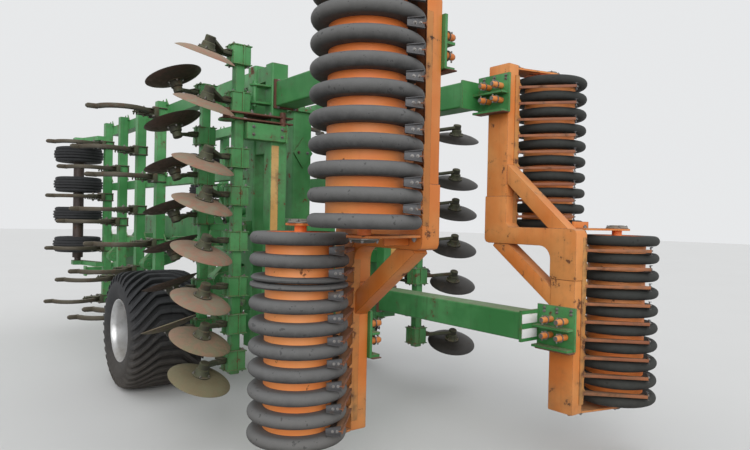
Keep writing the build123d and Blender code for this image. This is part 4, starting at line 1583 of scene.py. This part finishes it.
@dataclass
class PostFittings(Assembly):
    """What is on a wing's rear post: hanger, rusted guide plates, collars and the bare yellow strip."""

    levels: tuple[float, ...] = (0.93, 2.65)

    def build(self) -> None:
        """Builds hangers, guide plates and strip, then the collars."""
        rusty, green, strip = (self.form() for _ in range(3))
        outline = [(0.500, 1872), (0.500, 2010), (0.560, 2120), (0.700, 2100), (0.900, 2050), (1.060, 2020),
                   (1.085, 1990), (1.085, 1900), (1.040, 1872)]
        for z in (2.405, 2.452):
            rusty.level([(x, ahead(y)) for x, y in outline], z, 0.012, 0.002)
        rusty.rod((0.585, ahead(1895), 2.385), (0.585, ahead(1895), 2.500), 0.024, 20)
        rusty.rod((1.040, ahead(1950), 2.392), (1.040, ahead(1950), 2.492), 0.030, 20)
        green.box((0.560, ahead(1872), 2.262), (0.905, ahead(1990), 2.392), 0.006)
        green.box((0.552, ahead(1864), 2.255), (0.566, ahead(1998), 2.399), 0.002)
        green.turned([(0.030, 2.392), (0.064, 2.392), (0.064, 2.404), (0.030, 2.404)],
                     upright(self.sign * 1.040, ahead(1950), 0), 28, closed=True)
        lug = [(0.668, 1940), (0.668, 2040), (0.80, 2030), (0.835, 1990), (0.80, 1950)]
        for z in (2.56, 2.70):
            green.level([(x, ahead(y)) for x, y in lug], z, 0.016, 0.002)
        green.rod((0.790, ahead(1990), 2.535), (0.790, ahead(1990), 2.745), 0.020, 20)
        for y in (1971, 1891):
            for x in (0.70, 0.86):
                self.bolt((x, ahead(y), 2.465), UP, 0.014)
        for x in (0.60, 0.85):
            for z in (2.30, 2.36):
                self.bolt((x, ahead(1871), z), BACK, 0.010)
        strip.box((0.597, ahead(1928.5), 1.02), (0.662, ahead(1931), 2.235), 0.0)
        self.piece(rusty, "guide_plates", Finish.OXIDE, "worn_steel")
        self.piece(green, "disc_hangers", Finish.GREEN, "green_enamel")
        self.piece(strip, "bare_strip", Finish.STRIPE, "orange_enamel")
        self._collars()

    def _collars(self) -> None:
        """Builds the rusted collars where the roller arms are flanged to the post."""
        form = self.form()
        for z in self.levels:
            outer, inner = ([(0.545 - wide, z - high), (0.545 + wide, z - high), (0.545 + wide, z + high),
                             (0.545 - wide, z + high)] for wide, high in ((0.111, 0.116), (0.0935, 0.0985)))
            form.wall(outer, ahead(1925), 0.018, 0.0, inner)
            for x in (0.47, 0.62):
                for out in (1, -1):
                    self.bolt((x, ahead(1906), z + out * 0.1075), BACK, 0.009)
        self.piece(form, "arm_collars", Finish.OXIDE, "worn_steel")


@dataclass
class FoldCylinder(Assembly):
    """The gland, ports and steel pipe of a wing's fold cylinder."""

    foot: Flat = (-0.25, 1.95)
    eye: Flat = (0.56, 1.60)

    @property
    def body(self) -> str:
        """The body that the fittings ride on."""
        return f"fold_barrel_{self.word}"

    def build(self) -> None:
        """Builds the fittings on the cylinder's barrel, and notes the foot pin's nuts."""
        y = ahead(3750 if self.side is Side.RIGHT else 3250)
        low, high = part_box(f"fold_barrel_{self.word}")
        reach = high.x if self.sign > 0 else -low.x
        foot = Vector((self.sign * self.foot[0], y, self.foot[1]))
        along = (Vector((self.sign * self.eye[0], y, self.eye[1])) - foot).normalized()
        end = (reach - self.foot[0] - 0.050 * abs(along.z)) / abs(along.x)
        up = Vector((-along.z * self.sign, 0, along.x * self.sign)).normalized()
        form = Form()
        form.turned([(0.040, -0.062), (0.054, -0.062), (0.0575, -0.056), (0.0575, -0.004), (0.054, 0.003),
                     (0.040, 0.003)], tilted(foot + along * end, along), 32, closed=True)
        form.turned([(0.045, 0), (0.0565, 0), (0.0565, 0.024), (0.045, 0.024)], tilted(foot + along * 0.085, along),
                    32, closed=True)
        for at in (0.115, end - 0.095):
            start = foot + along * at + up * 0.044
            form.rod(start, start + up * 0.040, 0.015, 16)
        path = ((0.115, 0.082), (0.150, 0.082), (0.175, 0.068), (end - 0.150, 0.068), (end - 0.120, 0.082),
                (end - 0.095, 0.082))
        form.tube([foot + along * far + up * rise for far, rise in path], 0.007, 10)
        self.piece(form, "cylinder_fittings", Finish.BOLT, "bare_steel")
        for way in (1, -1):
            self.shop.bolts.add("chassis", (foot.x, y + way * 0.091, foot.z), (0, way, 0), 0.018)


@dataclass
class ChassisFittings:
    """What is on the chassis: the rear post's pipe, the jack's bands and webs, and the drawbar's bolts."""

    shop: Workshop
    jack: Flat = (0.145, ahead(8000))

    def post(self) -> None:
        """Builds the pipe over the rear post, and notes the post's bolts."""
        form = Form()
        form.rod((0.02, ahead(2600), 2.684), (0.02, ahead(2600), 2.800), 0.020, 20)
        form.box((-0.115, ahead(2534), 2.684), (0.115, ahead(2640), 2.696), 0.002)
        form.piece("post_pipe", Finish.GREEN, "chassis", "green_enamel")
        for x in (-0.08, 0.08):
            self.shop.bolts.add("chassis", (x, ahead(2562), 2.697), UP, 0.014)
            self.shop.bolts.add("chassis", (x * 0.6, ahead(2543), 2.275), BACK, 0.012)

    def drawbar(self) -> None:
        """Builds the jack's bands, pin and webs, and notes the drawbar's bolts."""
        x, y = self.jack
        bands, webs = Form(), Form()
        square = [(-0.052, -0.052), (0.052, -0.052), (0.052, 0.052), (-0.052, 0.052)]
        inside = [(a * 0.86, b * 0.86) for a, b in square]
        for z in (0.702, 1.276):
            bands.plate(square, upright(x, y, z), 0.022, 0.0, [inside])
        bands.rod((x + 0.044, y, 0.800), (x + 0.098, y, 0.800), 0.011, 16)
        bands.rod((x + 0.046, y, 0.800), (x + 0.054, y, 0.800), 0.022, 20)
        bands.turned([(0.020, -0.004), (0.028, -0.004), (0.028, 0.004), (0.020, 0.004)],
                     facing((x + 0.090, y, 0.776), (0, 1, 0), UP), 20, closed=True)
        bands.piece("jack_bands", Finish.BOLT, "chassis", "bare_steel")
        for c, s in round_about(4):
            way = Vector((c, s, 0))
            side = Vector(UP).cross(way)
            place = facing(Vector((x, y, 0)) - side * 0.004, way, UP)
            webs.plate([(0.031, 0.019), (0.126, 0.019), (0.126, 0.030), (0.031, 0.125)],
                       place @ upright(0, 0, -0.008), 0.008, 0.001)
        webs.piece("jack_foot_webs", Finish.WORN, "jack", "bare_steel")
        for z in (1.335, 1.465, 1.595):
            for side in (1, -1):
                for place, way in ((7016, 1), (6949, -1)):
                    self.shop.bolts.add("chassis", (side * 0.150, ahead(place), z), (0, way, 0), 0.018)
        for z, way in ((0.811, 1), (0.489, -1)):
            self.shop.bolts.add("chassis", (0, ahead(8930), z), (0, 0, way), 0.036)


def dress_cad() -> None:
    """Gives the CAD nodes that stay as they are their finishes."""
    green = ("chassis_frame", "rear_post", "drawbar", "axle_arms", "axle_cylinders", "hitch_crossbar", "fold_feet",
             "wing_rails", "wing_uprights", "hinge_lugs", "front_arms", "roller_arms", "fold_barrel")
    finishes = dict.fromkeys(green, Finish.GREEN) | {"jack_leg": Finish.WORN, "fold_rod": Finish.CHROME}
    for name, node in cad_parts.items():
        stem = name.removesuffix("_left").removesuffix("_right")
        if stem in finishes:
            for slot in node.material_slots:
                slot.material = finishes[stem].material
            log.info("%s has %s", name, finishes[stem].name)


@dataclass
class Studio:
    """Floor, backdrop, soft light and the camera at the photograph's viewpoint."""

    eye: Point = (-2.987, -6.858, 1.663)
    yaw: float = 37.79
    pitch: float = -0.57
    roll: float = 1.21
    lens: float = 29.18

    def build(self) -> None:
        """Builds all of it."""
        self._camera()
        self._floor()
        self._light()
        bpy.context.scene.view_settings.view_transform = "Standard"

    def _camera(self) -> None:
        """Sets the camera: yaw is to the right of the way the machine travels."""
        data = bpy.data.cameras.new("camera")
        data.lens = self.lens
        data.sensor_width = 36
        data.clip_end = 200
        made = linked("camera", data)
        yaw, pitch, roll = (math.radians(angle) for angle in (-self.yaw, 90 + self.pitch, self.roll))
        made.matrix_world = (Matrix.Translation(self.eye) @ Matrix.Rotation(yaw, 4, "Z")
                             @ Matrix.Rotation(pitch, 4, "X") @ Matrix.Rotation(roll, 4, "Z"))
        bpy.context.scene.camera = made

    def _floor(self) -> None:
        """Lays a pale floor that sends little light up."""
        mesh = bpy.data.meshes.new("floor")
        mesh.from_pydata([(-60, -60, 0), (60, -60, 0), (60, 60, 0), (-60, 60, 0)], [], [(0, 1, 2, 3)])
        s = Shader("pale_floor")
        shown = s.mix(s.noise(s.place(), 0.6, 4) * 0.5, (0.60, 0.59, 0.57), (0.66, 0.65, 0.63))
        mesh.materials.append(s.finish(s.mix(s.seen(), (0.20, 0.18, 0.15), shown), 0.9))
        linked("floor", mesh)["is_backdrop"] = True

    def _light(self) -> None:
        """Lights the machine like an overcast sky, with one very soft sun behind the camera."""
        world = bpy.data.worlds.new("sky")
        world.use_nodes = True
        sky = Nodes(world.node_tree)
        spot = sky.node("ShaderNodeTexCoord", output="Generated")
        height = sky.node("ShaderNodeSeparateXYZ", None, {0: spot}, 2)
        rise = sky.node("ShaderNodeMapRange", None,
                        {"Value": height, "From Min": -0.25, "From Max": 0.9, "To Min": 0.62, "To Max": 1.10})
        glow = sky.node("ShaderNodeBackground", None, {"Color": (0.93, 0.96, 1.0, 1), "Strength": rise})
        plain = sky.node("ShaderNodeBackground", None, {"Color": (0.80, 0.81, 0.82, 1)})
        both = sky.node("ShaderNodeMixShader", None, {0: sky.seen(), 1: glow, 2: plain})
        sky.node("ShaderNodeOutputWorld", None, {0: both})
        bpy.context.scene.world = world
        lamp = bpy.data.lights.new("key", "SUN")
        lamp.energy = 1.95
        lamp.angle = math.radians(55)
        made = linked("key", lamp)
        made.location = (-7.5, -11.5, 5.2)
        made.rotation_euler = (Vector((0, -1, 1.2)) - made.location).to_track_quat("-Z", "Y").to_euler()


def main() -> None:
    """Builds the machine's sub-assemblies in order."""
    shop = Workshop()
    Studio().build()
    dress_cad()
    for side in Side:
        worn = 7 if side is Side.LEFT else None
        rollers = (RingRoller(shop, side, "lower", worn=worn), RingRoller(shop, side, "upper"))
        for roller in rollers:
            roller.build()
        for kind in (RollerFrame, Brackets, Scrapers):
            kind(shop, side, rollers).build()
        for kind in (DiscGang, TineBank, FrontTyres, RoadWheel, FoldCylinder):
            kind(shop, side).build()
        TineBank(shop, side).gussets()
    for side in Side:
        PostFittings(shop, side).build()
    chassis = ChassisFittings(shop)
    chassis.post()
    chassis.drawbar()
    shop.bolts.build()
    boxes = {"cad": CAD_BOX, "visual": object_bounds()}
    {name: [list(corner) for corner in box] for name, box in boxes.items()}


if __name__ == "__main__":
    logging.basicConfig(level=logging.INFO, format="%(message)s")
    main()
